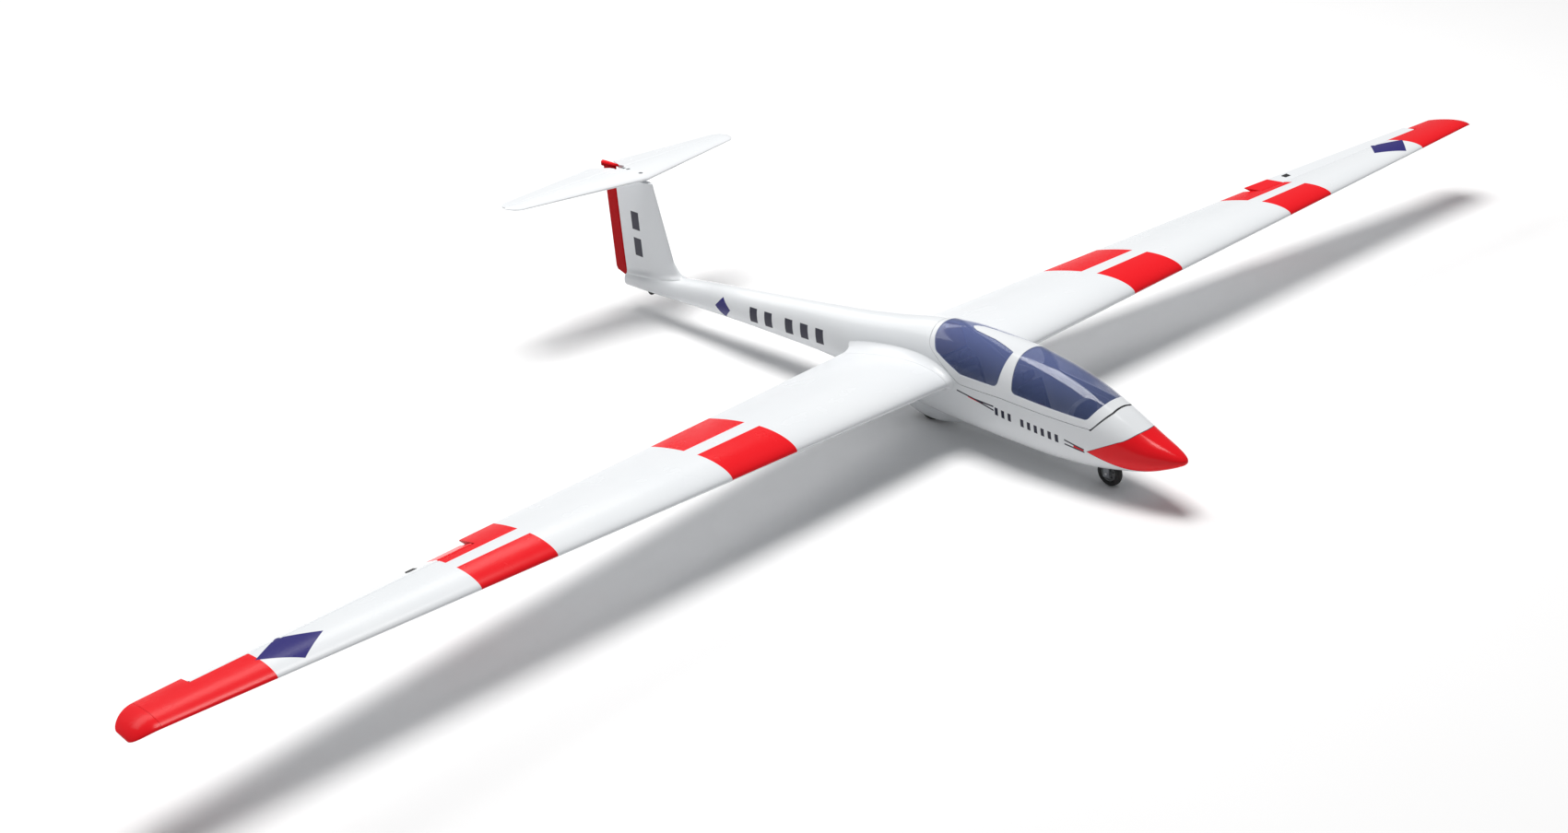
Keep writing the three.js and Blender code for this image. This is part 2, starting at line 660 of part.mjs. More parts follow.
/** The tailplane's fixed part, cut off ahead of the elevator's hinge. */
function stabiliserRing(x) {
  const inset = Math.max(Math.abs(x) - (TAIL_HALF_SPAN - TAIL_TIP), 0);
  const shrink = Math.sqrt(Math.max(1 - (inset / 19) ** 2, 0.02));
  const y0 = tailLeadingY(Math.abs(x)) + 34 * (1 - shrink);
  const chord = tailTrailingY(Math.abs(x)) - y0;
  const rear = ELEVATOR_HINGE_Y - elevatorRadius(Math.abs(x)) - 0.6;
  const ratio = TAIL_THICKNESS * (0.35 + 0.65 * shrink);
  return foilOutline(ratio, 0, EDGE / chord, (rear - y0) / chord)
    .map(([share, height]) => new THREE.Vector3(x, y0 + chord * share, TAIL_Z + chord * height));
}

function elevatorRadius(x) {
  const y0 = tailLeadingY(x);
  const chord = tailTrailingY(x) - y0;
  return chord * foilHeight((ELEVATOR_HINGE_Y - y0) / chord, 1, TAIL_THICKNESS, 0) + 0.3;
}

const TAIL_BOLTS = [768, 803];

function tailplane() {
  const stations = [0, 110, ...[20, 10, 3, 0].map((inset) => TAIL_HALF_SPAN - inset)];
  const rings = [...stations.slice(1).reverse().map((x) => -x), ...stations].map(stabiliserRing);
  let body = solid(loft(rings));
  for (const y of TAIL_BOLTS) {
    const hole = solid(bolt(y, 2.1, TAIL_Z - 20, TAIL_Z + 20));
    const counterbore = solid(bolt(y, 3.8, TAIL_Z + 3, TAIL_Z + 20));
    body = body.subtract(hole).subtract(counterbore);
  }
  const hornSlot = block(-3, 3, CABLE_TOP_Y - 4, ELEVATOR_HINGE_Y, TAIL_Z - 15, TAIL_Z + 15);
  body = body.subtract(solid(hornSlot));
  const bolts = TAIL_BOLTS.map((y, i) => {
    const shank = solid(bolt(y, 1.7, TAIL_Z - 24, TAIL_Z + 4));
    const head = solid(bolt(y, 3.3, TAIL_Z + 3.3, TAIL_Z + 5.6));
    return piece(i === 0 ? 'tailplane_front_bolt' : 'tailplane_rear_bolt', shank.add(head), STEEL);
  });
  return [piece('tailplane', body, WHITE), ...bolts];
}

/** One half of the elevator; its inner end is cut back to leave the rudder room to swing. */
function elevatorHalf(side) {
  const stations = [9, 70, 140, ...[26, 14, 7, 3].map((inset) => TAIL_HALF_SPAN - inset)];
  const tip = TAIL_HALF_SPAN - TAIL_TIP - 3;
  const rings = stations.map((x) => {
    const shrink = Math.sqrt(Math.max(1 - (Math.max(x - tip, 0) / 20) ** 2, 0.06));
    const endY = ELEVATOR_HINGE_Y + (tailTrailingY(x) - ELEVATOR_HINGE_Y) * shrink;
    const hinge = new THREE.Vector3(side * x, ELEVATOR_HINGE_Y, TAIL_Z);
    const end = new THREE.Vector3(side * x, endY, TAIL_Z);
    return flapRing(hinge, elevatorRadius(x) * (0.4 + 0.6 * shrink), end, EDGE);
  });
  const corners = [[0, 820], [10, 820], [10, 842], [29, 890], [0, 890]];
  const outline = new THREE.Shape(corners.map(([x, y]) => new THREE.Vector2(side * x, y)));
  const notch = new THREE.ExtrudeGeometry(outline, { depth: 40, bevelEnabled: false });
  notch.translate(0, 0, TAIL_Z - 20);
  const bore = solid(elevatorWire(ELEVATOR_WIRE.radius + 0.35, ELEVATOR_WIRE.reach + 1));
  const half = solid(loft(rings)).subtract(solid(notch)).subtract(bore);
  return piece(`${sideName(side)}_elevator`, half, WHITE);
}

const ELEVATOR_WIRE = { radius: 1.2, reach: 36 };
const elevatorWire = (radius, reach) =>
  acrossRod(reach, radius, 10).translate(0, ELEVATOR_HINGE_Y, TAIL_Z);

function elevator() {
  const eye = solid(acrossRod(2, 3, 12)).subtract(solid(acrossRod(5, ELEVATOR_WIRE.radius + GAP, 10)));
  const arm = solid(block(-1, 1, -14, -2.2, -1.6, 1.6));
  const horn = at(piece('elevator_horn', eye.add(arm), BLACK), 0, ELEVATOR_HINGE_Y, TAIL_Z);
  return assembly(
    elevatorHalf(1), elevatorHalf(-1),
    piece('elevator_joiner_wire', elevatorWire(ELEVATOR_WIRE.radius, ELEVATOR_WIRE.reach), STEEL),
    horn,
  );
}

const RUDDER_TOP_Z = 262.5;

/** Rudder section at height z: a round nose about the hinge, and flat sides to the end. */
function rudderRing(z, end) {
  const points = [];
  const steps = 6;
  for (let k = 0; k <= steps; k += 1) {
    const angle = Math.PI * (1 + k / steps);
    points.push(new THREE.Vector3(
      RUDDER_NOSE * Math.cos(angle), FIN_HINGE_Y + RUDDER_NOSE * Math.sin(angle), z));
  }
  points.push(new THREE.Vector3(EDGE, end, z), new THREE.Vector3(-EDGE, end, z));
  return points;
}

/** The pointed fairing on the rudder's top edge, over the tailplane. */
function rudderTopFairing() {
  const [front, rear, half] = [829, RUDDER_END_Y + 2, 4];
  const outline = new THREE.Shape();
  outline.moveTo(0, front);
  outline.quadraticCurveTo(half + 1.5, front + 17, half, rear);
  outline.lineTo(-half, rear);
  outline.quadraticCurveTo(-half - 1.5, front + 17, 0, front);
  const form = (depth) =>
    new THREE.ExtrudeGeometry(outline, { depth, bevelEnabled: false, curveSegments: 6 });
  const cap = solid(form(4.5).translate(0, 0, RUDDER_TOP_Z - 0.5));
  const skirt = solid(form(5.5).translate(0, 0, RUDDER_TOP_Z - 5))
    .intersect(solid(block(-10, 10, FIN_HINGE_Y + 2, RUDDER_END_Y + 10, 250, RUDDER_TOP_Z + 2)));
  return cap.add(skirt);
}

/** The rudder, and its horn: a flat plate in a slit on the left side. */
function rudder() {
  const bottom = rudderRing(RUDDER_BOTTOM_Z, RUDDER_END_Y - 3).map((p) => {
    p.z += Math.max(p.y - FIN_HINGE_Y, 0) * 0.18;
    return p;
  });
  const upper = [80, 160, RUDDER_TOP_Z].map((z) => rudderRing(z, RUDDER_END_Y));
  const { x, z } = RUDDER_ROD;
  const plate = (inner, outer, reach, thick) => solid(block(
    inner, outer, FIN_HINGE_Y - reach, FIN_HINGE_Y + reach, z - thick, z + thick));
  const body = solid(loft([bottom, ...upper]))
    .subtract(solid(bolt(FIN_HINGE_Y, 1.3, 50, RUDDER_TOP_Z - 3)))
    .subtract(plate(2.2, x + 5, 3.3, 1.3))
    .add(rudderTopFairing());
  return assembly(
    piece('rudder', body, RED),
    piece('rudder_horn', plate(2.5, x + 2, 2.6, 1), BLACK),
  );
}

/** The wire that the rudder turns on, fixed to the end of the boom by its foot. */
function rudderHingeWire() {
  const wire = solid(bolt(FIN_HINGE_Y, 0.9, 52, RUDDER_TOP_Z - 4));
  const foot = solid(block(-0.9, 0.9, FIN_HINGE_Y - 4.8, FIN_HINGE_Y + 0.6, 52, 54));
  return piece('rudder_hinge_wire', wire.add(foot), STEEL);
}

// ---------------------------------------------------------------- tail linkages
function rudderLinkage() {
  const { x, z, servoY } = RUDDER_ROD;
  const shaft = new THREE.Vector3(0, servoY, SERVO_TOP_Z);
  const servo = at(piece('rudder_servo', servoCase(), BLACK), shaft.x, shaft.y, shaft.z);
  servo.rotation.set(0, 0, Math.PI / 2);
  const arm = at(piece('rudder_servo_arm', servoArm(x), WHITE), shaft.x, shaft.y, shaft.z);
  const from = new THREE.Vector3(x, servoY, shaft.z - 2.2);
  const to = new THREE.Vector3(x, FIN_HINGE_Y, z - 3.2);
  return [servo, arm, piece('rudder_pushrod', pushrod(from, to), STEEL)];
}

function elevatorLinkage() {
  const { x, y } = ELEVATOR_SERVO;
  const servo = at(piece('elevator_servo', servoCase(), BLACK), x, y, SERVO_TOP_Z);
  servo.rotation.set(0, 0, Math.PI / 2);
  const arm = at(piece('elevator_servo_arm', servoArm(12), WHITE), x, y, SERVO_TOP_Z);
  arm.rotation.set(0, 0, Math.PI);
  const route = new THREE.CatmullRomCurve3([
    [-29.5, 142, 92], [-28, 200, 92], [-20, 330, 88], [-13, 480, 80], [-7, 620, 72], [-4, 720, 70],
    [-2, 772, 84], [-1, 800, 120], [0, CABLE_TOP_Y, 180], [0, CABLE_TOP_Y, 244],
  ].map((p) => new THREE.Vector3(...p)));
  const sides = 6;
  const section = new THREE.Shape(new THREE.EllipseCurve(0, 0, 1.5, 1.5).getPoints(sides).slice(0, sides));
  const sleeve = new THREE.ExtrudeGeometry(section, { steps: 32, extrudePath: route });
  return [servo, arm, piece('elevator_cable_tube', sleeve, BLACK)];
}

// ---------------------------------------------------------------- wing panels
const HORN_X = 888;
const AILERON_ARM = { reach: 13, servoShare: 0.47, servoHeight: 0.0175 };

/** The aileron's hinge line, and the directions across it before it is turned to its rest angle. */
function aileronFrame(side) {
  const inner = aileronAxisPoint(side, AILERON_INNER_X);
  const outer = aileronAxisPoint(side, AILERON_OUTER_X);
  const axis = outer.clone().sub(inner).normalize().multiplyScalar(side);
  const hinge = aileronAxisPoint(side, HORN_X);
  const back = wingPoint(side, HORN_X, 1, 0).sub(hinge);
  back.addScaledVector(axis, -back.dot(axis)).normalize();
  const up = axis.clone().cross(back);
  const outboard = axis.clone().multiplyScalar(side);
  return { inner, axis, hinge, back, up, outboard };
}

/** Everything inboard of the cap, less the aileron's bay. */
function wingPanel(side) {
  const stations = [ROOT_X + GAP, 300, 540, KINK_X, 940, 1100, CAP_X];
  let body = solid(loft(stations.map((x) => wingRing(side, x))));
  const edge = (x, ahead) => aileronAxisPoint(side, x).y - hingeRadius(x) - ahead;
  const clearance = 0.7;
  const x0 = AILERON_INNER_X - 1.6;
  const x1 = AILERON_OUTER_X + 1.6;
  const past = trailingY(0);
  const corners = [[x0, edge(x0, clearance)], [x1, edge(x1, clearance)], [x1, past], [x0, past]];
  const bay = new THREE.Shape(corners.map(([x, y]) => new THREE.Vector2(side * x, y)));
  body = body.subtract(solid(new THREE.ExtrudeGeometry(bay, { depth: 200, bevelEnabled: false })));
  body = body.subtract(joinerRod(JOINER.radius + 0.6, JOINER.reach + 2));
  body = body.subtract(wingPinHole(side));
  return body.subtract(solid(servoPocket(side)));
}

const SERVO_POCKET = { inner: 28, outer: 8, front: 0.27, back: 0.6, roof: 2 };
const COVER = { inner: 27, outer: 7, front: 0.28, back: 0.59, thickness: 1.2 };

/** The servo's pocket: open below, with a roof under the wing's top skin. */
function servoPocket(side) {
  const { inner, outer, front, back, roof } = SERVO_POCKET;
  const below = 5;
  const corner = (x, share, face, lift) =>
    wingSurface(side, x, share, face).add(new THREE.Vector3(0, 0, lift));
  const ring = (x) => [
    corner(x, front, 1, -roof), corner(x, back, 1, -roof),
    corner(x, back, -1, -below), corner(x, front, -1, -below),
  ];
  return loft([ring(HORN_X - inner), ring(HORN_X + outer)]);
}

function servoCover(side) {
  const { inner, outer, front, back, thickness } = COVER;
  const corner = (x, share, lift) =>
    wingSurface(side, x, share, -1).add(new THREE.Vector3(0, 0, lift));
  const ring = (x) => [
    corner(x, front, thickness), corner(x, back, thickness), corner(x, back, 0), corner(x, front, 0),
  ];
  const plate = solid(loft([ring(HORN_X - inner), ring(HORN_X + outer)]));
  const { shaft } = aileronLinkFrame(side);
  const armSlot = block(-3.5, 3.5, -9, 9, -40, 0).translate(shaft.x, shaft.y, shaft.z);
  return piece(`${sideName(side)}_servo_cover`, plate.subtract(solid(armSlot)), WHITE);
}

/** Adds the servo's shaft and the arm's direction at rest, which is parallel to the horn. */
function aileronLinkFrame(side) {
  const frame = aileronFrame(side);
  const shaft = wingPoint(side, HORN_X, AILERON_ARM.servoShare, AILERON_ARM.servoHeight);
  const down = frame.up.clone().multiplyScalar(-1).applyAxisAngle(frame.axis, side * AILERON_REST);
  return { ...frame, shaft, down };
}

/** Places a part whose shaft is +z and whose arm is +x, with its arm pointing along `arm`. */
function orient(mesh, origin, shaftAxis, arm) {
  const third = shaftAxis.clone().cross(arm).normalize();
  mesh.quaternion.setFromRotationMatrix(new THREE.Matrix4().makeBasis(arm, third, shaftAxis));
  mesh.position.copy(origin);
  return mesh;
}

function aileronLinkage(side) {
  const { hinge, shaft, down, back, outboard } = aileronLinkFrame(side);
  const name = sideName(side);
  const front = back.clone().multiplyScalar(-1);
  const servo = orient(piece(`${name}_aileron_servo`, servoCase(), BLACK), shaft, outboard, front);
  const arm = orient(piece(`${name}_servo_arm`, servoArm(AILERON_ARM.reach), WHITE), shaft, outboard, down);
  const beside = outboard.clone().multiplyScalar(3.8);
  const from = shaft.clone().addScaledVector(down, AILERON_ARM.reach).add(beside);
  const to = hinge.clone().addScaledVector(down, AILERON_ARM.reach).add(beside);
  const link = piece(`${name}_aileron_pushrod`, pushrod(from, to), STEEL);
  return [servo, arm, link, servoCover(side)];
}

/** One aileron, and its horn: a plate on top, a stem through the aileron and a blade below. */
function aileron(side) {
  const name = sideName(side);
  const { inner, axis, hinge, back, up, outboard } = aileronLinkFrame(side);
  const rings = [AILERON_INNER_X, 940, 1075, AILERON_OUTER_X].map((x) =>
    flapRing(aileronAxisPoint(side, x), hingeRadius(x), wingPoint(side, x, 1, 0), EDGE));
  const swing = (geometry) => turnAbout(geometry, inner, axis, side * AILERON_REST);
  // turns (outboard, back, up) distances from the hinge line into place, at the rest angle
  const basis = new THREE.Matrix4().makeBasis(outboard, back, up).setPosition(hinge);
  const fitted = (geometry) => solid(swing(geometry.applyMatrix4(basis)));
  const blade = sideExtrusion(
    [[13, 1.9], [19, 1.9], [19, -3.2], [3, -15], [-2.4, -15], [-2.6, -11.4], [13, -5]], 0.8);
  const plate = block(-6, 6, 11, 21, 1.5, 3.4);
  const horn = fitted(blade.translate(0.6, 0, 0)).add(fitted(plate));
  const plateSeat = fitted(block(-6.4, 6.4, 10.6, 21.4, 1.2, 9));
  const stemSlot = fitted(block(-0.6, 1.8, 12.6, 19.4, -9, 2));
  const body = solid(swing(loft(rings))).subtract(plateSeat).subtract(stemSlot);
  return assembly(piece(`${name}_aileron`, body, WHITE), piece(`${name}_aileron_horn`, horn, BLACK));
}

/** The rounded, slightly turned-down tip. */
function tipCap(side) {
  const reach = SPAN / 2 - CAP_X;
  const shares = [0.01, 0.35, 0.65, 0.85, 0.96, 1];
  const rings = shares.map((t) => {
    const x = CAP_X + reach * t;
    const shrink = Math.max(Math.sqrt(1 - t * t), 0.1);
    const middle = wingPoint(side, x, 0.45, 0);
    return wingRing(side, x).map((p) => new THREE.Vector3(
      p.x,
      middle.y + (p.y - middle.y) * (0.35 + 0.65 * shrink),
      middle.z + (p.z - middle.z) * (0.2 + 0.8 * shrink) - TIP_DROOP * t * t,
    ));
  });
  return piece(`${sideName(side)}_tip_cap`, loft(rings), RED);
}

function wing(side) {
  const name = sideName(side);
  const { inner, outer, radius } = WING_PIN;
  const pin = rod(wingPinLine(side, inner), wingPinLine(side, outer), radius);
  return assembly(
    piece(`${name}_wing_panel`, wingPanel(side), WHITE),
    tipCap(side),
    piece(`${name}_wing_pin`, pin, STEEL),
    aileron(side),
    ...aileronLinkage(side),
  );
}

// ---------------------------------------------------------------- the glider
const fixture = hatchCatch();
const airframe = assembly(
  fuselageShell(),
  ...cockpit(),
  ...equipment(),
  fixture.former,
  fixture.magnet,
  canopy(fixture),
  ...wheels(),
  piece('wing_joiner_rod', joinerRod(JOINER.radius, JOINER.reach), STEEL),
  ...tailplane(),
  elevator(),
  rudder(),
  rudderHingeWire(),
  ...rudderLinkage(),
  ...elevatorLinkage(),
  wing(1),
  wing(-1),
);

// The origin is on the ground, under the middle of the bounding box.
const extent = new THREE.Box3().setFromObject(airframe);
airframe.position.y = -(extent.min.y + extent.max.y) / 2;
const group = assembly(airframe);

export default group;
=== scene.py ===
"""Looks of a radio-controlled two-seat sailplane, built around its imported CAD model.

Lengths in this script are millimetres in the part's own frame: nose to -Y, left wing to +X, up is +Z,
and y = 0 near the root of the wing's leading edge. placed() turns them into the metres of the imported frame.
"""
import math

import bmesh
import bpy
import numpy as np
from mathutils import Matrix, Vector


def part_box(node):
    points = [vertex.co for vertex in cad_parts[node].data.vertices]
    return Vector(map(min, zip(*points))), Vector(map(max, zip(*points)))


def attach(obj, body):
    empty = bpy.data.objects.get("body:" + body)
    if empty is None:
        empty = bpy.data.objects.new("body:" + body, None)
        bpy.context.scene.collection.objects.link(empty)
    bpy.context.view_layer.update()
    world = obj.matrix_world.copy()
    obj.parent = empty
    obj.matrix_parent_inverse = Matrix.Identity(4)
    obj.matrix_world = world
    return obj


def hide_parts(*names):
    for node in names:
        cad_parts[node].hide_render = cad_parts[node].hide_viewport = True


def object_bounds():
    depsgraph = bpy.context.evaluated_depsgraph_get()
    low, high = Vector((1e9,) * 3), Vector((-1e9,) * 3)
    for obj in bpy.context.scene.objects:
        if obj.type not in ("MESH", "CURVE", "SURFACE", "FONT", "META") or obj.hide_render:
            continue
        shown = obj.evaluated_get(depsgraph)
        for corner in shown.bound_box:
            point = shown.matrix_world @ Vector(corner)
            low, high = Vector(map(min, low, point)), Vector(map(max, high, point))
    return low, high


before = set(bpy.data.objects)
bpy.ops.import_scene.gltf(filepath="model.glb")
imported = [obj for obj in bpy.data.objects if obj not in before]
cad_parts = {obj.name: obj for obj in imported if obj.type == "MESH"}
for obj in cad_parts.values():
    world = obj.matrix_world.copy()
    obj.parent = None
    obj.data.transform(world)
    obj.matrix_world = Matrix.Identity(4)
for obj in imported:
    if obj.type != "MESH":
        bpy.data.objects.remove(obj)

CAD_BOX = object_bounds()
MM = 0.001

# ---- dimensions, as in the CAD model
HULL = np.array([
    (-382, 75.5, 75.5, 0), (-379.5, 80, 71.5, 5), (-374, 83, 68, 10.5), (-358, 89.5, 60, 18.5),
    (-330, 99, 49, 28.5), (-280, 121, 36.5, 39.5), (-220, 146, 27, 48), (-150, 163, 23.5, 53),
    (-80, 172.5, 24, 54.5), (0, 176, 25, 53), (80, 168, 29, 48.5), (160, 153.5, 40, 42),
    (240, 141, 49, 36), (350, 128, 53.5, 30), (480, 113.5, 53.5, 26), (620, 98, 51, 22),
    (760, 80, 46, 17), (838, 68.5, 43.5, 12.5),
])
HULL_POWER = 2.25
HULL_WAIST = 0.47
NOSE_Y, NOSE_CAP_Y, BOOM_END_Y = -382.0, -374.0, 838.0
SKIN = 2.0
INNER_END_Y = 833
SHIFT_Y = CAD_BOX[0][1] / MM - NOSE_Y

SPAN = 2600
DIHEDRAL = math.radians(1.9)
INCIDENCE = math.radians(2.5)
WING_Z = 102
ROOT_X = 62
KINK_X = 790
LEAD_Y, LEAD_SWEEP = -2.0, 0.013
TRAIL_Y, TRAIL_TAPER, TIP_TAPER = 227.0, 0.126, 0.142
CAP_X = 1267
TIP_DROOP = 10
WING_CAMBER = 0.025
EDGE = 0.5
AILERON_INNER_X, AILERON_OUTER_X = 806, 1204
AILERON_HINGE = 0.76
AILERON_REST = math.radians(12)
AILERON_GAP, AILERON_END_GAP = 0.7, 1.6
HORN_X = 888
POCKET_INNER_X, POCKET_OUTER_X = HORN_X - 28, HORN_X + 8
JOINER_Y, JOINER_Z, JOINER_BORE = 62, 105, 5.6
PIN_SHARE, PIN_HEIGHT, PIN_BORE = 0.68, 0.02, 2.5
BAND_1, BAND_2, TIP_PAINT_X = (352, 467), (748, 860), 1130

FIN_HINGE_Y, RUDDER_END_Y, RUDDER_NOSE = 843, 874, 3.4
RUDDER_BOTTOM_Z, RUDDER_TOP_Z = 61, 262.5
FIN_LEAD_Y, FIN_LEAD_SWEEP, FIN_FOOT_Z = 700, 0.264, 100
FIN_THICKNESS, FIN_THINNING = 15, 0.02
FIN_TOP_Z, TAIL_Z, TAIL_HALF_SPAN = 248, 256, 240
TAIL_LEAD_Y, TAIL_LEAD_SWEEP = 746, 0.231
TAIL_TRAIL_Y, TAIL_TRAIL_TAPER = 885, 0.147
TAIL_TIP = 18
FIN_EDGE = 1.0
ELEVATOR_HINGE_Y = 830
CABLE_TOP_Y = 816
TAIL_BOLTS, TAIL_BOLT_BORE = (768, 803), 2.1
TAIL_THICKNESS = 0.1

NOSE_WHEEL = {"y": -250, "z": 20, "radius": 20, "width": 12}
MAIN_WHEEL = {"y": 95, "z": 27.5, "radius": 27.5, "width": 15}
TAIL_WHEEL = {"y": 779, "z": 47, "radius": 9, "width": 5}
FLOOR_Z = 52.3

HATCH_ROOM, HATCH_INSET, WINDOW_GAP = 0.15, 0.75, 0.25
GLASS_OUTER, GLASS_INNER = 0.3, 1.5
SEAM_DEPTH = 0.6
HATCH = (
    (-252, 100), (-272, 122), (-272, 200), (64, 200), (60, 172), (51, 146), (-18, 107), (-99, 108),
)
WINDOWS = {
    "front": (((-118, 120), (-111, 166), (-110, 200), (-258, 200), (-257, 131), (-244, 111)),
              (9, 14, 0, 0, 8, 8)),
    "rear": (((-91, 122), (-97, 166), (-98, 200), (52, 200), (50, 172), (46, 159), (35, 142), (-19, 122)),
             (11, 14, 0, 0, 8, 10, 14, 16)),
}


# ---- meshes
def placed(points):
    """Millimetres in the part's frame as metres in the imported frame."""
    return (np.asarray(points, float) + (0, SHIFT_Y, 0)) * MM


def unplaced(points):
    """The way back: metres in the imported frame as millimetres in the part's."""
    return points / MM - (0, SHIFT_Y, 0)


def link(name, data):
    item = bpy.data.objects.new(name, data)
    bpy.context.scene.collection.objects.link(item)
    return item


def add_object(name, points, faces):
    mesh = bpy.data.meshes.new(name)
    mesh.from_pydata(placed(points).tolist(), [], [list(map(int, face)) for face in faces])
    mesh.update()
    return link(name, mesh)


def tidy_mesh(piece, merge=0.004):
    """Merges doubled points and turns the faces outward."""
    work = bmesh.new()
    work.from_mesh(piece.data)
    bmesh.ops.remove_doubles(work, verts=work.verts, dist=merge * MM)
    bmesh.ops.dissolve_degenerate(work, edges=work.edges, dist=merge * MM)
    bmesh.ops.recalc_face_normals(work, faces=work.faces)
    work.to_mesh(piece.data)
    work.free()
    return piece


def loft(name, rings, closed=False, merge=0.004):
    """A surface through rings of equal length; its ends are flat, or meet where closed is true."""
    rings = np.asarray(rings, float)
    rows, around = rings.shape[:2]
    index = np.arange(rows * around).reshape(rows, around)
    far = np.roll(index, -1, 0)
    quads = np.stack([index, np.roll(index, -1, 1), np.roll(far, -1, 1), far], -1)
    if closed:
        faces = quads.reshape(-1, 4).tolist()
    else:
        faces = quads[:-1].reshape(-1, 4).tolist() + [index[0][::-1].tolist(), index[-1].tolist()]
    return tidy_mesh(add_object(name, rings.reshape(-1, 3), faces), merge)


def extrude(name, outline, start, end, lift):
    """A flat outline swept between two offsets; lift(u, v, w) gives the point."""
    rings = [[lift(u, v, w) for u, v in outline] for w in (start, end)]
    return loft(name, rings)


def prism(name, outline, half=80):
    """A side outline (y, z) swept across the fuselage."""
    return extrude(name, outline, -half, half, lambda y, z, x: (x, y, z))


def slab(name, outline, low, high):
    """A plan outline (x, y) swept upward."""
    return extrude(name, outline, low, high, lambda x, y, z: (x, y, z))


def block(name, x0, x1, y0, y1, z0, z1):
    return slab(name, [(x0, y0), (x1, y0), (x1, y1), (x0, y1)], z0, z1)


def unit(vectors):
    return vectors / np.linalg.norm(vectors, axis=-1, keepdims=True)


def beside(directions):
    """Unit vectors square to the given 2-D directions, on their right."""
    return unit(np.stack([directions[:, 1], -directions[:, 0]], 1))


def turns(count):
    return np.arange(count) * 2 * math.pi / count


def rod(name, start, end, radius, sides=32):
    start, end = np.asarray(start, float), np.asarray(end, float)
    axis = unit(end - start)
    across = unit(np.cross(axis, (0.3, 0.5, 0.81)))
    other = np.cross(axis, across)
    ring = radius * (np.outer(np.cos(turns(sides)), across) + np.outer(np.sin(turns(sides)), other))
    return loft(name, [start + ring, end + ring])


def lathe(name, profile, centre, sides=96, along="x", merge=0.004):
    """A closed profile (radius, out) turned about a line along x or y through its centre."""
    rings = []
    for radius, out in profile:
        across, up, ahead = radius * np.cos(turns(sides)), radius * np.sin(turns(sides)), np.full(sides, out)
        order = (ahead, across, up) if along == "x" else (across, ahead, up)
        rings.append(np.stack(order, 1) + centre)
    return loft(name, rings, True, merge)


def other_side(profile):
    """The profile's mirror image, in the opposite order."""
    return [(radius, -out) for radius, out in profile[::-1]]


def bulge(value, power):
    """A circle's coordinate, moved out towards a rounded square."""
    return np.sign(value) * np.abs(value) ** (2 / power)


def rounded_block(half_width, half_length, half_depth, power, steps, around):
    """Rings of a block that is rounded every way: 2 makes an ellipsoid, more squares it up."""
    rings = []
    for k in range(1, steps):
        t = -math.cos(math.pi * k / steps)
        reach = (1 - abs(t) ** power) ** (1 / power)
        rings.append(np.stack([half_width * reach * bulge(np.cos(turns(around)), power),
                               half_length * reach * bulge(np.sin(turns(around)), power),
                               np.full(around, half_depth * t)], 1))
    return np.array(rings)


def fetch(items, key, width=1, kind=float):
    """One attribute of a mesh's points, corners or faces, as an array."""
    values = np.empty(len(items) * width, kind)
    items.foreach_get(key, values)
    return values.reshape(-1, width) if width > 1 else values


def settle(piece):
    """Applies the piece's modifiers to its mesh."""
    graph = bpy.context.evaluated_depsgraph_get()
    mesh = bpy.data.meshes.new_from_object(piece.evaluated_get(graph))
    piece.modifiers.clear()
    piece.data = mesh
    return piece


def combine(piece, operation, *others):
    """Joins, cuts or intersects a piece with others, which are used up."""
    for other in others:
        tool = piece.modifiers.new("join", "BOOLEAN")
        tool.operation = operation
        tool.solver = "MANIFOLD"
        tool.object = other
        settle(piece)
        if not len(piece.data.polygons):
            raise RuntimeError(f"{piece.name}: nothing left after {operation} with {other.name}")
        bpy.data.objects.remove(other)
    return piece


def cut(piece, *others):
    return combine(piece, "DIFFERENCE", *others)


def join(piece, *others):
    return combine(piece, "UNION", *others)


def common(piece, *others):
    return combine(piece, "INTERSECT", *others)


def smooth_shade(piece, angle=32):
    piece.data.shade_smooth()
    piece.data.set_sharp_from_angle(angle=math.radians(angle))
    return piece


def rounded(outline, radius, steps=8):
    """The outline with its corners rounded; radius is one number or one for each corner."""
    outline = [np.asarray(p, float) for p in outline]
    count = len(outline)
    radii = [radius] * count if np.isscalar(radius) else list(radius)
    result = []
    for i, corner in enumerate(outline):
        before, after = outline[i - 1] - corner, outline[(i + 1) % count] - corner
        room = 0.48 * min(np.linalg.norm(before), np.linalg.norm(after))
        before, after = unit(before), unit(after)
        half = math.acos(np.clip(before @ after, -1, 1)) / 2
        reach = min(radii[i] / math.tan(half), room)
        if reach < 0.05:
            result.append(tuple(corner))
            continue
        start, end = corner + before * reach, corner + after * reach
        for t in np.linspace(0, 1, steps + 1):
            result.append(tuple((1 - t) ** 2 * start + 2 * t * (1 - t) * corner + t * t * end))
    return result


def grow(outline, distance):
    """Moves an outline's points away from its middle (positive) or towards it."""
    points = np.asarray(outline, float)
    following = np.roll(points, -1, 0)
    area = np.sum(points[:, 0] * following[:, 1] - following[:, 0] * points[:, 1])
    normal = beside(following - points)
    before = np.roll(normal, 1, 0)
    scale = np.sign(area) * distance / (1 + np.sum(before * normal, 1))
    return points + (before + normal) * scale[:, None]


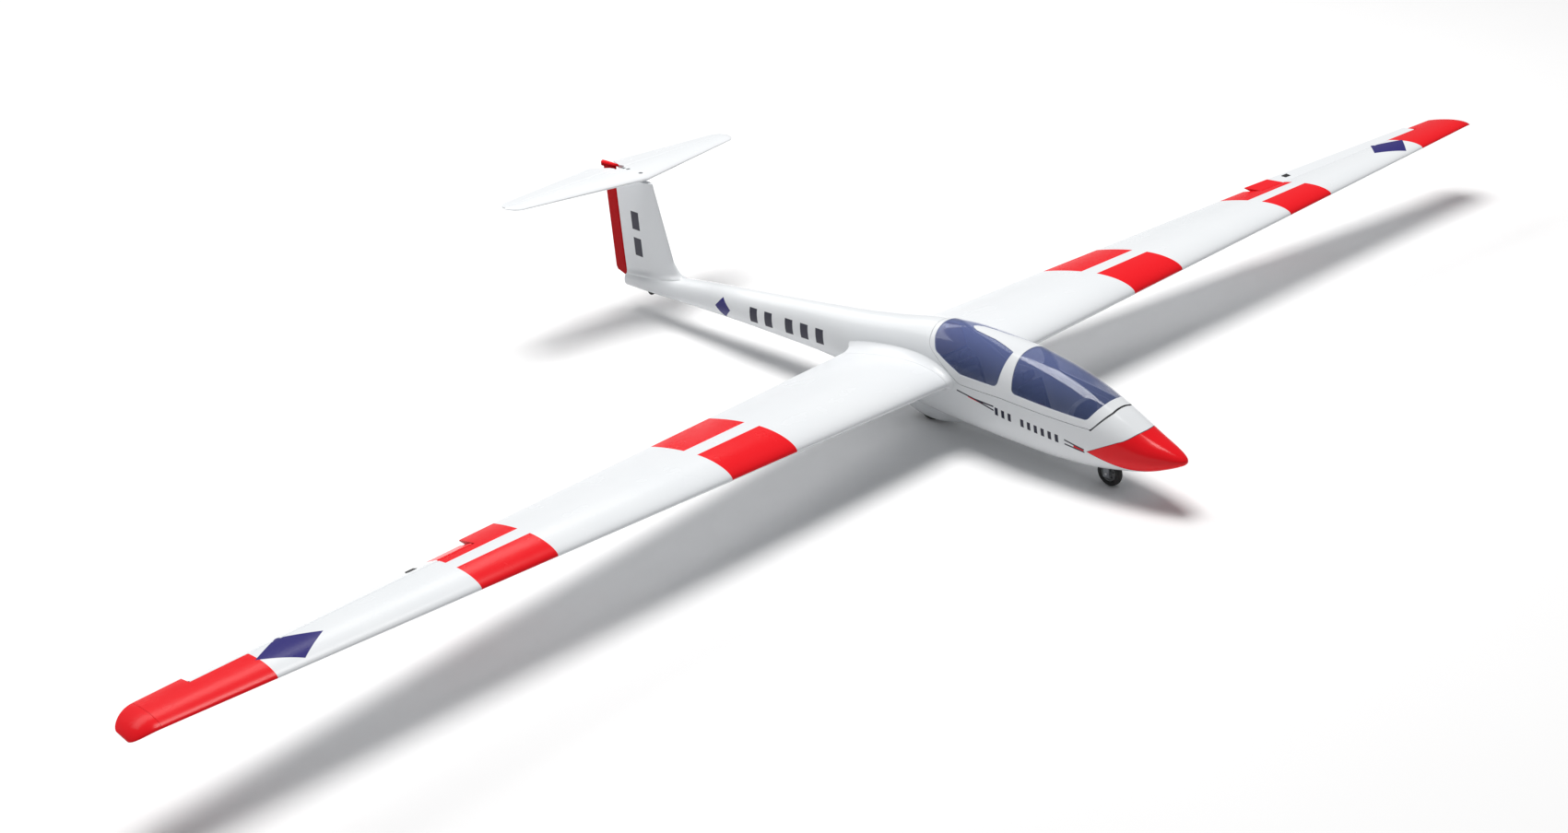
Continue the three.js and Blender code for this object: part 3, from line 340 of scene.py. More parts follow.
# ---- smooth curves and sections
def monotone(xs, ys, at):
    """Monotone cubic through the points, as in the CAD model."""
    xs, ys, at = np.asarray(xs, float), np.asarray(ys, float), np.asarray(at, float)
    step = np.diff(xs)
    rise = np.diff(ys) / step
    slope = np.concatenate([[rise[0]], np.zeros(len(xs) - 2), [rise[-1]]])
    for i in range(1, len(xs) - 1):
        if rise[i - 1] * rise[i] > 0:
            w0, w1 = 2 * step[i] + step[i - 1], step[i] + 2 * step[i - 1]
            slope[i] = (w0 + w1) / (w0 / rise[i - 1] + w1 / rise[i])
    inside = np.clip(at, xs[0], xs[-1])
    i = np.clip(np.searchsorted(xs, inside) - 1, 0, len(xs) - 2)
    h = step[i]
    t = (inside - xs[i]) / h
    return ((2 * t**3 - 3 * t**2 + 1) * ys[i] + (t**3 - 2 * t**2 + t) * h * slope[i]
            + (3 * t**2 - 2 * t**3) * ys[i + 1] + (t**3 - t**2) * h * slope[i + 1])


def hull_station(y):
    """Top, bottom and half width of the fuselage, with the nose rounded off."""
    t = np.sqrt(np.clip((y - NOSE_Y) / (NOSE_CAP_Y - NOSE_Y), 0, 1))
    tip, cap = HULL[0], HULL[2]
    return tuple(np.where(y < NOSE_CAP_Y, tip[k] + (cap[k] - tip[k]) * t, monotone(HULL[:, 0], HULL[:, k], y))
                 for k in (1, 2, 3))


def hull_ring(y, inset, around):
    top, bottom, half = hull_station(y)
    top, bottom, half = top - inset, bottom + inset, max(half - inset, 0.02)
    waist = bottom + HULL_WAIST * (top - bottom)
    across, up = np.cos(turns(around)), np.sin(turns(around))
    reach = np.where(up > 0, top - waist, waist - bottom)
    return np.stack([half * bulge(across, HULL_POWER), np.full(around, y),
                     waist + reach * bulge(up, HULL_POWER)], 1)


def hull_form(name, inset, start=NOSE_Y, end=BOOM_END_Y, around=112, pitch=6.0):
    nose = NOSE_Y + (NOSE_CAP_Y - NOSE_Y) * (np.arange(1, 9) / 8) ** 2
    body = np.arange(NOSE_CAP_Y + 4, BOOM_END_Y - 2, pitch)
    stations = [y for y in np.concatenate([nose, body]) if start + 0.5 < y < end - 0.5]
    first = start + 0.02 if start == NOSE_Y else start
    return loft(name, [hull_ring(y, inset, around) for y in [first, *stations, end]])


def hull_middle(y, z):
    """Half width of the fuselage, height of its waist, and its reach from there towards z."""
    top, bottom, half = hull_station(y)
    waist = bottom + HULL_WAIST * (top - bottom)
    return half, waist, np.where(z > waist, top - waist, waist - bottom)


def hull_level(x, y, z):
    """1 on the fuselage's surface, less inside."""
    half, waist, reach = hull_middle(y, z)
    return ((np.abs(x) / np.maximum(half, 0.01)) ** HULL_POWER
            + (np.abs(z - waist) / np.maximum(reach, 0.01)) ** HULL_POWER)


def hull_half_width(y, z):
    half, waist, reach = hull_middle(y, z)
    share = np.clip(np.abs(z - waist) / reach, 0, 0.999)
    return half * (1 - share ** HULL_POWER) ** (1 / HULL_POWER)


def hull_depth(points):
    """How deep points lie under the fuselage's surface, and the direction straight out of it there."""
    step = 0.05
    slope = np.stack([hull_level(*(points + shift).T) - hull_level(*(points - shift).T)
                      for shift in step * np.eye(3)], 1) / (2 * step)
    length = np.linalg.norm(slope, axis=1) + 1e-9
    return (1 - hull_level(*points.T)) / length, slope / length[:, None]


def follow_hull_normals(piece, within=0.5):
    """Gives the faces on the fuselage's surface the normals of the true curved form."""
    mesh = piece.data
    corners = fetch(mesh.loops, "vertex_index", kind=int)
    at = unplaced(fetch(mesh.vertices, "co", 3))[corners]
    normals = fetch(mesh.corner_normals, "vector", 3)
    sizes = fetch(mesh.polygons, "loop_total", kind=int)
    face_normal = np.repeat(fetch(mesh.polygons, "normal", 3), sizes, 0)
    depth, outward = hull_depth(at)
    near = (np.abs(depth) < within) & (np.sum(outward * face_normal, 1) > 0.93)
    near &= (at[:, 1] > NOSE_CAP_Y) & (at[:, 1] < BOOM_END_Y - 1)
    normals[near] = outward[near]
    mesh.normals_split_custom_set(normals.tolist())


def line_and_shade_seam(piece):
    """Leaves the marks off the inside, and paints shade along the hatch's front seam with a dark strip."""
    mesh = piece.data
    for material in ("seam_shade", "frame_gelcoat"):
        mesh.materials.append(MATERIALS[material])
    at = unplaced(fetch(mesh.polygons, "center", 3))
    depth, outward = hull_depth(at)
    facing = np.sum(outward * fetch(mesh.polygons, "normal", 3), 1)
    edge = (at[:, 2] > HATCH[0][1] - 2) & (np.abs(at[:, 1] - hatch_front(at[:, 2])) < 4)
    # the dark strip in the hatch's front seam is painted shade for the gap
    strip = edge & ((np.abs(facing) < 0.5) | ((depth > 0.2) & (depth < SKIN - 0.4)))
    inside = (depth > 0.8) & (facing < 0.3)
    chosen = np.where(strip, 1, np.where(inside, 2, 0))
    mesh.polygons.foreach_set("material_index", chosen.astype(np.int32))


def hatch_front(z):
    (y0, z0), (y1, z1) = HATCH[:2]
    return np.interp(z, (z0, z1), (y0, y1))


def foil_height(share, face, thickness, camber):
    """Height of the upper (1) or lower (-1) surface of a cambered section of chord 1."""
    s = np.clip(share, 0, 1)
    half = 5 * thickness * (
        0.2969 * np.sqrt(s) - 0.126 * s - 0.3516 * s**2 + 0.2843 * s**3 - 0.1015 * s**4)
    peak = 0.4
    mean = np.where(
        s < peak, camber / peak**2 * (2 * peak * s - s**2),
        camber / (1 - peak) ** 2 * (1 - 2 * peak + 2 * peak * s - s**2))
    return mean + face * half


def foil_outline(thickness, camber, edge, end=1.0, steps=34):
    """Section points (share of chord, height): over the top to the nose and back below."""
    shares = end * (1 - np.cos(np.linspace(0, math.pi / 2, steps + 1))) ** 1.25
    top = [(s, foil_height(s, 1, thickness, camber) + edge * s) for s in shares[::-1]]
    bottom = [(s, foil_height(s, -1, thickness, camber) - edge * s) for s in shares[1:]]
    return np.array(top + bottom)


# ---- wing geometry
def leading_y(x):
    return LEAD_Y - LEAD_SWEEP * x


def trailing_y(x):
    return TRAIL_Y - TRAIL_TAPER * np.minimum(x, KINK_X) - TIP_TAPER * np.maximum(x - KINK_X, 0)


def chord_at(x):
    return trailing_y(x) - leading_y(x)


def thickness_at(x):
    return 0.15 - 0.03 * x / (SPAN / 2)


def wing_point(side, x, share, height):
    """A point of the wing at span station x, share of chord and height above the chord line."""
    chord = chord_at(x)
    y = leading_y(x) + chord * (share * math.cos(INCIDENCE) + height * math.sin(INCIDENCE))
    z = (WING_Z + x * math.tan(DIHEDRAL)
         + chord * (height * math.cos(INCIDENCE) - share * math.sin(INCIDENCE)))
    return np.stack(np.broadcast_arrays(side * x, y, z), -1).astype(float)


def wing_ring(side, x):
    shares, heights = foil_outline(thickness_at(x), WING_CAMBER, EDGE / chord_at(x)).T
    return wing_point(side, x, shares, heights)


def wing_surface(side, x, share, face):
    height = foil_height(share, face, thickness_at(x), WING_CAMBER) + face * EDGE / chord_at(x) * share
    return wing_point(side, x, share, height)


def aileron_axis_point(side, x):
    top, bottom = (wing_surface(side, x, AILERON_HINGE, face) for face in (1, -1))
    return (top + bottom) / 2


def hinge_radius(x):
    top, bottom = (wing_surface(1, x, AILERON_HINGE, face) for face in (1, -1))
    return np.linalg.norm(top - bottom) / 2 - 0.1


def flap_ring(hinge, radius, end, span=(1, 0, 0), along=8):
    """A control surface's section across its span: a round nose about its hinge, flat sides to its end."""
    hinge, end = np.asarray(hinge, float), np.asarray(end, float)
    back = unit(end - hinge)
    up = unit(np.cross(span, back))
    ring = []
    for angle in np.linspace(math.pi / 2, 3 * math.pi / 2, 15):
        ring.append(hinge + radius * (math.cos(angle) * back + math.sin(angle) * up))
    low, high = ring[-1], ring[0]
    ring += [low + (end - EDGE * up - low) * k / along for k in range(1, along + 1)]
    ring += [end + EDGE * up + (high - end - EDGE * up) * k / along for k in range(along)]
    return np.array(ring)


def turned(points, origin, axis, angle):
    turn = np.array(Matrix.Rotation(angle, 3, Vector(axis)))
    return (np.asarray(points) - origin) @ turn.T + origin


# ---- node materials
def feed(item, socket):
    """Gives a socket a field, another socket, a colour or a plain value."""
    if isinstance(item, Field):
        item = item.socket
    if isinstance(item, bpy.types.NodeSocket):
        socket.id_data.links.new(item, socket)
    else:
        socket.default_value = (*item, 1.0) if socket.type == "RGBA" else item


def add_node(tree, kind, inputs, **settings):
    """A shader node with its settings; inputs gives what feeds each socket, by name or place."""
    node = tree.nodes.new("ShaderNode" + kind)
    for name, value in settings.items():
        setattr(node, name, value)
    for place, item in inputs.items():
        feed(item, node.inputs[place])
    return node


class Field:
    """A number that varies over a surface, built from the material's nodes."""

    def __init__(self, socket):
        self.socket = socket

    def math(self, operation, *others):
        inputs = dict(enumerate((self, *others)))
        return Field(add_node(self.socket.id_data, "Math", inputs, operation=operation).outputs[0])

    def __add__(self, other):
        return self.math("ADD", other)

    def __sub__(self, other):
        return self.math("SUBTRACT", other)

    def __mul__(self, other):
        return self.math("MULTIPLY", other)

    def __truediv__(self, other):
        return self.math("DIVIDE", other)

    def absolute(self):
        return self.math("ABSOLUTE")

    def minimum(self, other):
        return self.math("MINIMUM", other)

    def maximum(self, other):
        return self.math("MAXIMUM", other)

    def above(self, edge, soft=0.25):
        """0 below the edge and 1 above it, with a narrow soft step."""
        inputs = {"Value": self - edge, "From Min": -soft, "From Max": soft}
        return Field(add_node(self.socket.id_data, "MapRange", inputs, clamp=True).outputs["Result"])

    def below(self, edge, soft=0.25):
        return self.above(edge, soft) * -1.0 + 1.0

    def between(self, low, high, soft=0.25):
        return self.above(low, soft) * self.below(high, soft)

    def within(self, reach, soft=0.25):
        """1 where the value is less than reach from 0."""
        return self.absolute().below(reach, soft)

    def spread(self, low, high):
        """Maps 0..1 to low..high."""
        return self * (high - low) + low


class Surface:
    """A material under construction: its shader, and fields in the part's millimetres."""

    def __init__(self, name):
        self.material = bpy.data.materials.new(name)
        self.material.use_nodes = True
        self.tree = self.material.node_tree
        self.shader = self.tree.nodes["Principled BSDF"]
        self.coordinates = add_node(self.tree, "TexCoord", {}).outputs["Object"]
        x, y, z = map(Field, add_node(self.tree, "SeparateXYZ", {0: self.coordinates}).outputs)
        self.x, self.y, self.z = x * 1000.0, y * 1000.0 - SHIFT_Y, z * 1000.0
        self.out = self.x.absolute()
        self.height = None

    def constant(self, **values):
        """Sets the shader's own sockets; an underscore stands for a space."""
        for name, value in values.items():
            feed(value, self.shader.inputs[name.replace("_", " ")])

    def noise(self, size, detail=3.0, stretch=(1, 1, 1), distortion=0.0):
        """Smooth noise whose grains are about size millimetres across."""
        mapping = add_node(self.tree, "Mapping", {"Vector": self.coordinates, "Scale": stretch})
        inputs = {"Vector": mapping.outputs[0], "Scale": 1000.0 / size, "Detail": detail,
                  "Distortion": distortion}
        return Field(add_node(self.tree, "TexNoise", inputs).outputs["Fac"])

    def colour(self, first, *layers):
        """The base colour: first is (colour, colour, field), and each layer (colour, mask) covers it."""
        low, high, field = first
        current = self.mix(field, low, high)
        for paint, mask in layers:
            current = self.mix(mask, current, paint)
        feed(current, self.shader.inputs["Base Color"])

    def mix(self, factor, first, second):
        inputs = {"Factor": factor, 6: first, 7: second}
        return add_node(self.tree, "Mix", inputs, data_type="RGBA").outputs[2]

    def roughness(self, size, low, high):
        """Roughness that wanders between two values over about size millimetres."""
        self.rough(self.noise(size).spread(low, high))

    def rough(self, field):
        feed(field, self.shader.inputs["Roughness"])

    def bump(self, field, depth, strength=1.0):
        """Raises the surface by a field from 0 to 1 times depth millimetres."""
        inputs = {"Strength": strength, "Distance": depth * MM, "Height": field}
        if self.height:
            inputs["Normal"] = self.height
        self.height = add_node(self.tree, "Bump", inputs).outputs["Normal"]
        feed(self.height, self.shader.inputs["Normal"])


def wave(field, pitch):
    """A sine of a millimetre field, 0 to 1."""
    return (field * (2 * math.pi / pitch)).math("SINE") * 0.5 + 0.5


WHITE_LOW, WHITE_HIGH = (0.71, 0.735, 0.76), (0.77, 0.785, 0.8)
RED = (0.77, 0.01, 0.016)
# painted shade: the rudder's red darkened below its top fairing, as if in shadow
PAINTED_SHADE_RED = (0.4, 0.0, 0.003)
NAVY = (0.028, 0.024, 0.16)
INK = (0.03, 0.03, 0.05)


def substance(name, low, high, drift, rough, *grains, marks=None, edge=0.0, **constants):
    """A material whose colour drifts between low and high, under its marks.

    drift and rough hold what noise() and roughness() take. Each of grains is (noise, depth) or
    (noise, depth, strength). The marks stand out by edge millimetres.
    """
    surface = Surface(name)
    layers = marks(surface) if marks else []
    surface.colour((low, high, surface.noise(*drift)), *layers)
    surface.roughness(*rough)
    for noise, *height in grains:
        surface.bump(surface.noise(*noise), *height)
    if edge:
        for _, mask in layers:
            surface.bump(mask, edge, 0.5)
    surface.constant(**constants)
    return surface.material


def film(name, marks=None):
    """Heat-shrunk covering film: glossy, faintly rippled, with a slight step at each colour's edge."""
    return substance(name, WHITE_LOW, WHITE_HIGH, (160,), (45, 0.19, 0.32),
                     ((110, 1, (0.35, 1, 1)), 0.1), ((3.0, 1), 0.002), marks=marks, edge=0.04,
                     IOR=1.45, Specular_IOR_Level=0.14, Coat_Weight=0.03, Coat_Roughness=0.12)


def wing_marks(surface, upper_only=True):
    """Two broken red bands, a red tip and a plain navy lozenge, alike on both wings."""
    span, y = surface.out, surface.y
    front = span * -LEAD_SWEEP + LEAD_Y
    rear = span.minimum(KINK_X) * -TRAIL_TAPER - (span - KINK_X).maximum(0.0) * TIP_TAPER + TRAIL_Y
    share = (y - front) / (rear - front)
    tip = span.above(TIP_PAINT_X) * share.below(AILERON_HINGE - 0.012, 0.002)
    red = span.above(CAP_X - 63).maximum(tip)
    for (inner, outer), gap_start, gap_end in ((BAND_1, 0.405, 0.57), (BAND_2, 0.405, 0.60)):
        outside_gap = share.between(gap_start, gap_end, 0.0015) * -1.0 + 1.0
        red = red.maximum(span.between(inner, outer) * outside_gap)
    navy = ((span - 1091.0).absolute() / 43.0 + (y - 27.0).absolute() / 36.0).below(1.0, 0.01)
    if upper_only:
        chord_line = span * math.tan(DIHEDRAL) - (y - front) * math.tan(INCIDENCE) + WING_Z
        upper = (surface.z - chord_line).above((share - 1.0) * 1.5 - 0.1, 0.2)
        red, navy = red * upper, navy * upper
    return [(RED, red), (NAVY, navy)]


def aileron_marks(surface):
    return wing_marks(surface, upper_only=False)


def red_film(name, shade=RED, gloss=0.12, unshaded_above=0):
    """Red covering film: the given colour up to some height and plain red above; on the rudder that colour is
    a painted shade, darker red below its top fairing.
    """
    return substance(name, shade, tuple(c * 1.12 for c in shade), (90,), (40, 0.18, 0.3),
                     ((110, 1, (0.4, 1, 1)), 0.1), ((3.0, 1), 0.002),
                     marks=lambda surface: [(RED, surface.z.above(unshaded_above))],
                     IOR=1.45, Specular_IOR_Level=gloss, Coat_Weight=gloss / 6, Coat_Roughness=0.1)


def nose_cone_edge(surface):
    """Station where the red nose ends, for each direction around the fuselage."""
    angle = (surface.z - 67.0).math("ARCTAN2", surface.out) / math.pi + 0.5
    node = add_node(surface.tree, "FloatCurve", {"Value": angle})
    curve = node.mapping.curves[0]
    stations = ((-90, -347), (-45, -334), (-30, -306), (-14, -276), (0, -247), (14, -266.5), (22, -277.5),
                (32, -290.5), (45, -304.5), (67, -314), (90, -317))
    offset, span = 350.0, 110.0
    places = [(degrees / 180 + 0.5, (y + offset) / span) for degrees, y in stations]
    curve.points[0].location, curve.points[1].location = places[0], places[-1]
    for place in places[1:-1]:
        curve.points.new(*place)
    for point in curve.points:
        point.handle_type = "VECTOR" if abs(point.location[0] - 0.5) < 0.02 else "AUTO"
    node.mapping.update()
    return Field(node.outputs[0]) * span - offset


def dashes(field, starts, width):
    mask = None
    for start in starts:
        one = field.between(start, start + width)
        mask = one if mask is None else mask.maximum(one)
    return mask


def fuselage_marks(surface):
    """Red nose, thin side lines, and plain bars where a real one carries its registration."""
    y, z = surface.y, surface.z
    edge = nose_cone_edge(surface)
    rim = y.between(edge - 0.2, edge + 0.9)
    away = z - ((y + 15.0) * 0.114 + 97.3)
    aft = y.between(-52.0, -14.0) * away.within(1.1)
    opening = ((y + 50.0) / -36.0).maximum(0.0) * 3.0
    fork = y.between(-86.0, -50.0) * (away.absolute() - opening).within(1.2)
    glow = y.between(-66.0, -36.0) * away.between(-2.2, 0.4)
    slope = z - ((y + 211.0) * 0.19 + 73.0)
    spread = (y + 241.0) * 0.04 + 2.0
    front = y.between(-243.0, -211.0) * (slope.absolute() - spread).within(1.2)
    blaze = y.between(-242.0, -226.0) * slope.within(1.8)
    side_row = (z - ((y + 97.3) * 0.103 + 85.1)).within(6.0)
    words = dashes(y, (-201, -189, -177, -165, -153, -141, -118, -106, -94), 5.8) * side_row
    boom_row = (z - ((y - 386.0) * -0.045 + 88.0)).within(12.5)
    letters = dashes(y, (293, 331, 369, 421, 459), 19.0) * boom_row
    lozenge = ((y - 550.0).absolute() / 20.0 + (z - 77.0).absolute() / 18.0).below(1.0, 0.02)
    fin = y.between(781.0, 803.0) * z.between(109.0, 142.0).maximum(z.between(157.0, 190.0))
    red = y.below(edge).maximum(glow).maximum(blaze)
    ink = rim.maximum(aft).maximum(fork).maximum(front).maximum(words).maximum(letters).maximum(fin)
    return [(RED, red), (NAVY, lozenge), (INK, ink)]


def gelcoat(name, marks=None):
    """Moulded fibreglass under gloss paint: very smooth, with long faint waves in the mould."""
    return substance(name, WHITE_LOW, WHITE_HIGH, (220,), (60, 0.12, 0.22),
                     ((150, 1), 0.12), ((1.6, 1), 0.0015), marks=marks,
                     IOR=1.45, Specular_IOR_Level=0.15, Coat_Weight=0.08, Coat_Roughness=0.08)


def tinted_glass():
    """Blue glazing with a painted highlight: paler towards its crown, as if lit from above."""
    return substance("tinted_canopy", (0.075, 0.105, 0.235), (0.09, 0.125, 0.285), (80,),
                     (50, 0.03, 0.07), ((90, 1), 0.2),
                     # painted highlight: paler blue above z = 150, where light falls on the crown
                     marks=lambda surface: [((0.17, 0.22, 0.5), surface.z.above(150.0, 24.0))],
                     Alpha=0.36, IOR=1.49, Specular_IOR_Level=0.4, Coat_Weight=0.25, Coat_Roughness=0.03)


def plastic(name, low, high, grain=0.6, rough=(0.4, 0.55)):
    return substance(name, low, high, (12,), (4, *rough), ((grain,), 0.05, 0.7), IOR=1.46)


def steel():
    """Drawn wire and turned steel: fine lines and slight dulling."""
    surface = Surface("steel_wire")
    surface.colour(((0.48, 0.49, 0.5), (0.62, 0.63, 0.64), surface.noise(6, 4, (1, 0.2, 1))))
    surface.rough(surface.noise(1.5, 3, (1, 0.1, 1)).spread(0.22, 0.42))
    surface.bump(surface.noise(0.5, 2, (1, 0.08, 1)), 0.02, 0.5)
    surface.constant(Metallic=1.0)
    return surface.material


def plywood():
    surface = Surface("birch_plywood")
    grain = surface.noise(14, 5, (1, 0.12, 1), 0.6)
    plies = wave(surface.z + surface.x * 0.3, 1.2)
    surface.colour(((0.46, 0.3, 0.15), (0.72, 0.54, 0.33), grain),
                   ((0.4, 0.26, 0.13), plies * 0.18))
    surface.rough(grain.spread(0.55, 0.75))
    surface.bump(grain, 0.12)
    return surface.material


def cloth():
    """A close plain weave with a soft sheen."""
    surface = Surface("seat_cloth")
    warp = wave(surface.x, 0.9)
    weft = wave(surface.y + surface.z, 0.9)
    weave = warp * weft
    shade = weave.maximum(surface.noise(10) * 0.6)
    surface.colour(((0.018, 0.022, 0.045), (0.07, 0.08, 0.13), shade))
    surface.rough(weave.spread(0.75, 0.92))
    surface.bump(weave, 0.12)
    surface.constant(Sheen_Weight=0.35, Sheen_Roughness=0.5)
    return surface.material


def shrink_wrap():
    """The battery's wrap, with a plain band round its middle."""
    return substance("battery_wrap", (0.02, 0.07, 0.17), (0.035, 0.11, 0.24), (10,), (6, 0.2, 0.38),
                     ((7, 4, (1, 0.4, 1), 1.2), 0.3),
                     marks=lambda surface: [((0.7, 0.7, 0.68), surface.y.between(-300, -280))])


def dial_lines(surface):
    return [((0.75, 0.75, 0.7), wave(surface.x + surface.z, 2.0).above(0.93, 0.03))]


def dial_face():
    """Instrument faces: dark, with fine pale lines."""
    return substance("dial_face", (0.012, 0.012, 0.014), (0.03, 0.03, 0.034), (3,), (2, 0.12, 0.25),
                     ((1.0,), 0.02), marks=dial_lines, Coat_Weight=0.5, Coat_Roughness=0.03)


MATERIALS = {
    "wing_film": film("wing_film", wing_marks),
    "aileron_film": film("aileron_film", aileron_marks),
    "tail_film": film("tail_film"),
    "red_film": red_film("red_film"),
    # the rudder's darker red below its top fairing is painted shade
    "rudder_film_painted_shade": red_film("rudder_film_painted_shade", PAINTED_SHADE_RED, 0.02, RUDDER_TOP_Z),
    "fuselage_gelcoat": gelcoat("fuselage_gelcoat", fuselage_marks),
    "frame_gelcoat": gelcoat("frame_gelcoat"),
    # dark material for the hatch's front seam: painted shade in the gap
    "seam_shade": substance("hatch_seam_shade", (0.02, 0.02, 0.023), (0.045, 0.045, 0.05), (6,), (3, 0.55, 0.75),
                      ((1.5,), 0.05)),
    "tint": tinted_glass(),
    "black": plastic("black_plastic", (0.012, 0.012, 0.014), (0.03, 0.03, 0.033)),
    "white": plastic("white_plastic", (0.72, 0.73, 0.73), (0.82, 0.82, 0.82), 0.8, (0.28, 0.4)),
    "grey": plastic("cockpit_grey", (0.16, 0.17, 0.19), (0.24, 0.25, 0.27), 1.2, (0.5, 0.65)),
    "hub": plastic("wheel_hub", (0.11, 0.115, 0.12), (0.19, 0.195, 0.2), 1.0, (0.3, 0.45)),
    "steel": steel(),
    "ply": plywood(),
    "rubber": substance("wheel_rubber", (0.012, 0.012, 0.013), (0.032, 0.031, 0.03), (5, 4),
                        (3, 0.68, 0.9), ((0.8,), 0.08)),
    "cloth": cloth(),
    "wrap": shrink_wrap(),
    "dial": dial_face(),
}


def finish_piece(piece, material, body, slot, *nodes, angle=32):
    """Gives a piece its shading and material, and ties it to its body and CAD nodes; slot is not used."""
    smooth_shade(piece, angle)
    piece.data.materials.clear()
    piece.data.materials.append(MATERIALS[material])
    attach(piece, body)
    if nodes:
        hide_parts(*nodes)
    return piece


def finish_moulding(piece, material, body, slot, node):
    """Finishes a piece of the fuselage's surface, with its true curve and the painted shade of its front
    seam.
    """
    tidy_mesh(piece, 0.01)
    finish_piece(piece, material, body, slot, node)
    if material != "tint":
        line_and_shade_seam(piece)
    follow_hull_normals(piece)


# ---- fuselage
def root_fairing(side):
    """The wing's stub on the fuselage, flared where it meets the hull."""
    ring = wing_ring(side, ROOT_X)[:, 1:]
    ring = np.vstack([ring, np.linspace(ring[-1], ring[0], 8)[1:-1]])
    normal = beside(np.roll(ring, -1, 0) - np.roll(ring, 1, 0))
    for _ in range(3):
        normal = (np.roll(normal, 1, 0) + 2 * normal + np.roll(normal, -1, 0)) / 4
    normal = unit(normal)
    share = np.clip((ring[:, 0] - leading_y(0)) / chord_at(0), 0, 1)
    spread = 8 + 9 * share**1.5
    rings = []
    flare = [(t, 0.25 * math.cos(t)) for t in np.linspace(0, math.pi / 2, 15)]
    for t, inward in ((0, 26), (0, 12), (0, 4), *flare):
        moved = ring + normal * (spread * (1 - math.sin(t)))[:, None]
        base = hull_half_width(moved[:, 0], moved[:, 1])
        x = base + (ROOT_X - base) * (1 - math.cos(t)) - inward
        rings.append(np.column_stack([side * x, moved]))
    return loft("root_fairing", rings)


def wing_carry_through():
    """Fills the middle of the wing stubs, so that they run through the fuselage."""
    rings = [wing_ring(side, x) for side, x in ((-1, 44), (-1, 20), (1, 0), (1, 20), (1, 44))]
    return loft("carry_through", rings)


def fin_leading_y(z):
    return FIN_LEAD_Y + FIN_LEAD_SWEEP * (z - FIN_FOOT_Z)


def fin_ring(z, narrow, front, rear, flare=0.0):
    y0 = fin_leading_y(z) + front
    chord = RUDDER_END_Y - y0
    thickness = (FIN_THICKNESS - FIN_THINNING * (z - FIN_FOOT_Z) - 2 * narrow) / chord
    shares, heights = foil_outline(thickness, 0, FIN_EDGE / chord, (rear - y0) / chord).T
    points = np.stack([chord * heights, y0 + chord * shares, np.full(len(shares), z)], 1)
    if flare:
        top = hull_station(points[:, 1])[0]
        lift = np.clip((z - top) / flare, 0, 1)
        swell = 0.5 * flare * (1 - lift) ** 2.4
        fade = np.clip((rear - points[:, 1]) / 12, 0, 1)
        outward = np.sign(points[:, 0]) * np.minimum(1, np.abs(points[:, 0]) / 3)
        points[:, 0] += outward * swell * (0.2 + 0.8 * fade)
    return points


def fin_form():
    rear = FIN_HINGE_Y - RUDDER_NOSE - 0.6
    offsets = np.array([(52, -52), (62, -46), (80, -34), (92, -16), (104, -5), (116, 0), (130, 0), (260, 0)])
    heights = [*np.arange(54, 132, 2.0), *np.arange(136, FIN_TOP_Z, 8), FIN_TOP_Z]
    rings = [fin_ring(z, 0, float(monotone(offsets[:, 0], offsets[:, 1], z)), rear, 9.0) for z in heights]
    return loft("fin_form", rings)


def fin_hollow():
    rear = FIN_HINGE_Y - 9
    return loft("fin_hollow", [fin_ring(z, 1.7, 12, rear) for z in (66, 110, 170, FIN_TOP_Z - 16)])


def belly_fairing():
    """A smooth swelling round the front of the main wheel."""
    rings = rounded_block(21, 30, 71, 2, 36, 48)[..., [0, 2, 1]]
    return loft("belly_fairing", rings + (0, MAIN_WHEEL["y"] - 10, 34))


def wheel_well(wheel, half_width, half_length, bottom, top):
    front, rear = wheel["y"] - half_length, wheel["y"] + half_length
    corners = [(-half_width, front), (half_width, front), (half_width, rear), (-half_width, rear)]
    outline = rounded(corners, half_width * 0.6)
    return slab("wheel_well", outline, bottom, top)


def joiner_point(side, x):
    return (side * x, JOINER_Y, JOINER_Z + x * math.tan(DIHEDRAL))


def wing_pin_point(side, x):
    root = wing_point(side, ROOT_X, PIN_SHARE, PIN_HEIGHT)
    return (side * x, root[1], root[2] + (x - ROOT_X) * math.tan(DIHEDRAL))


def wing_bores(side, reach):
    """The joiner rod's bore, as far out as reach, and the locating pin's."""
    return (rod("joiner_bore", joiner_point(side, -2), joiner_point(side, reach), JOINER_BORE),
            rod("pin_hole", wing_pin_point(side, 44), wing_pin_point(side, 93), PIN_BORE, 20))


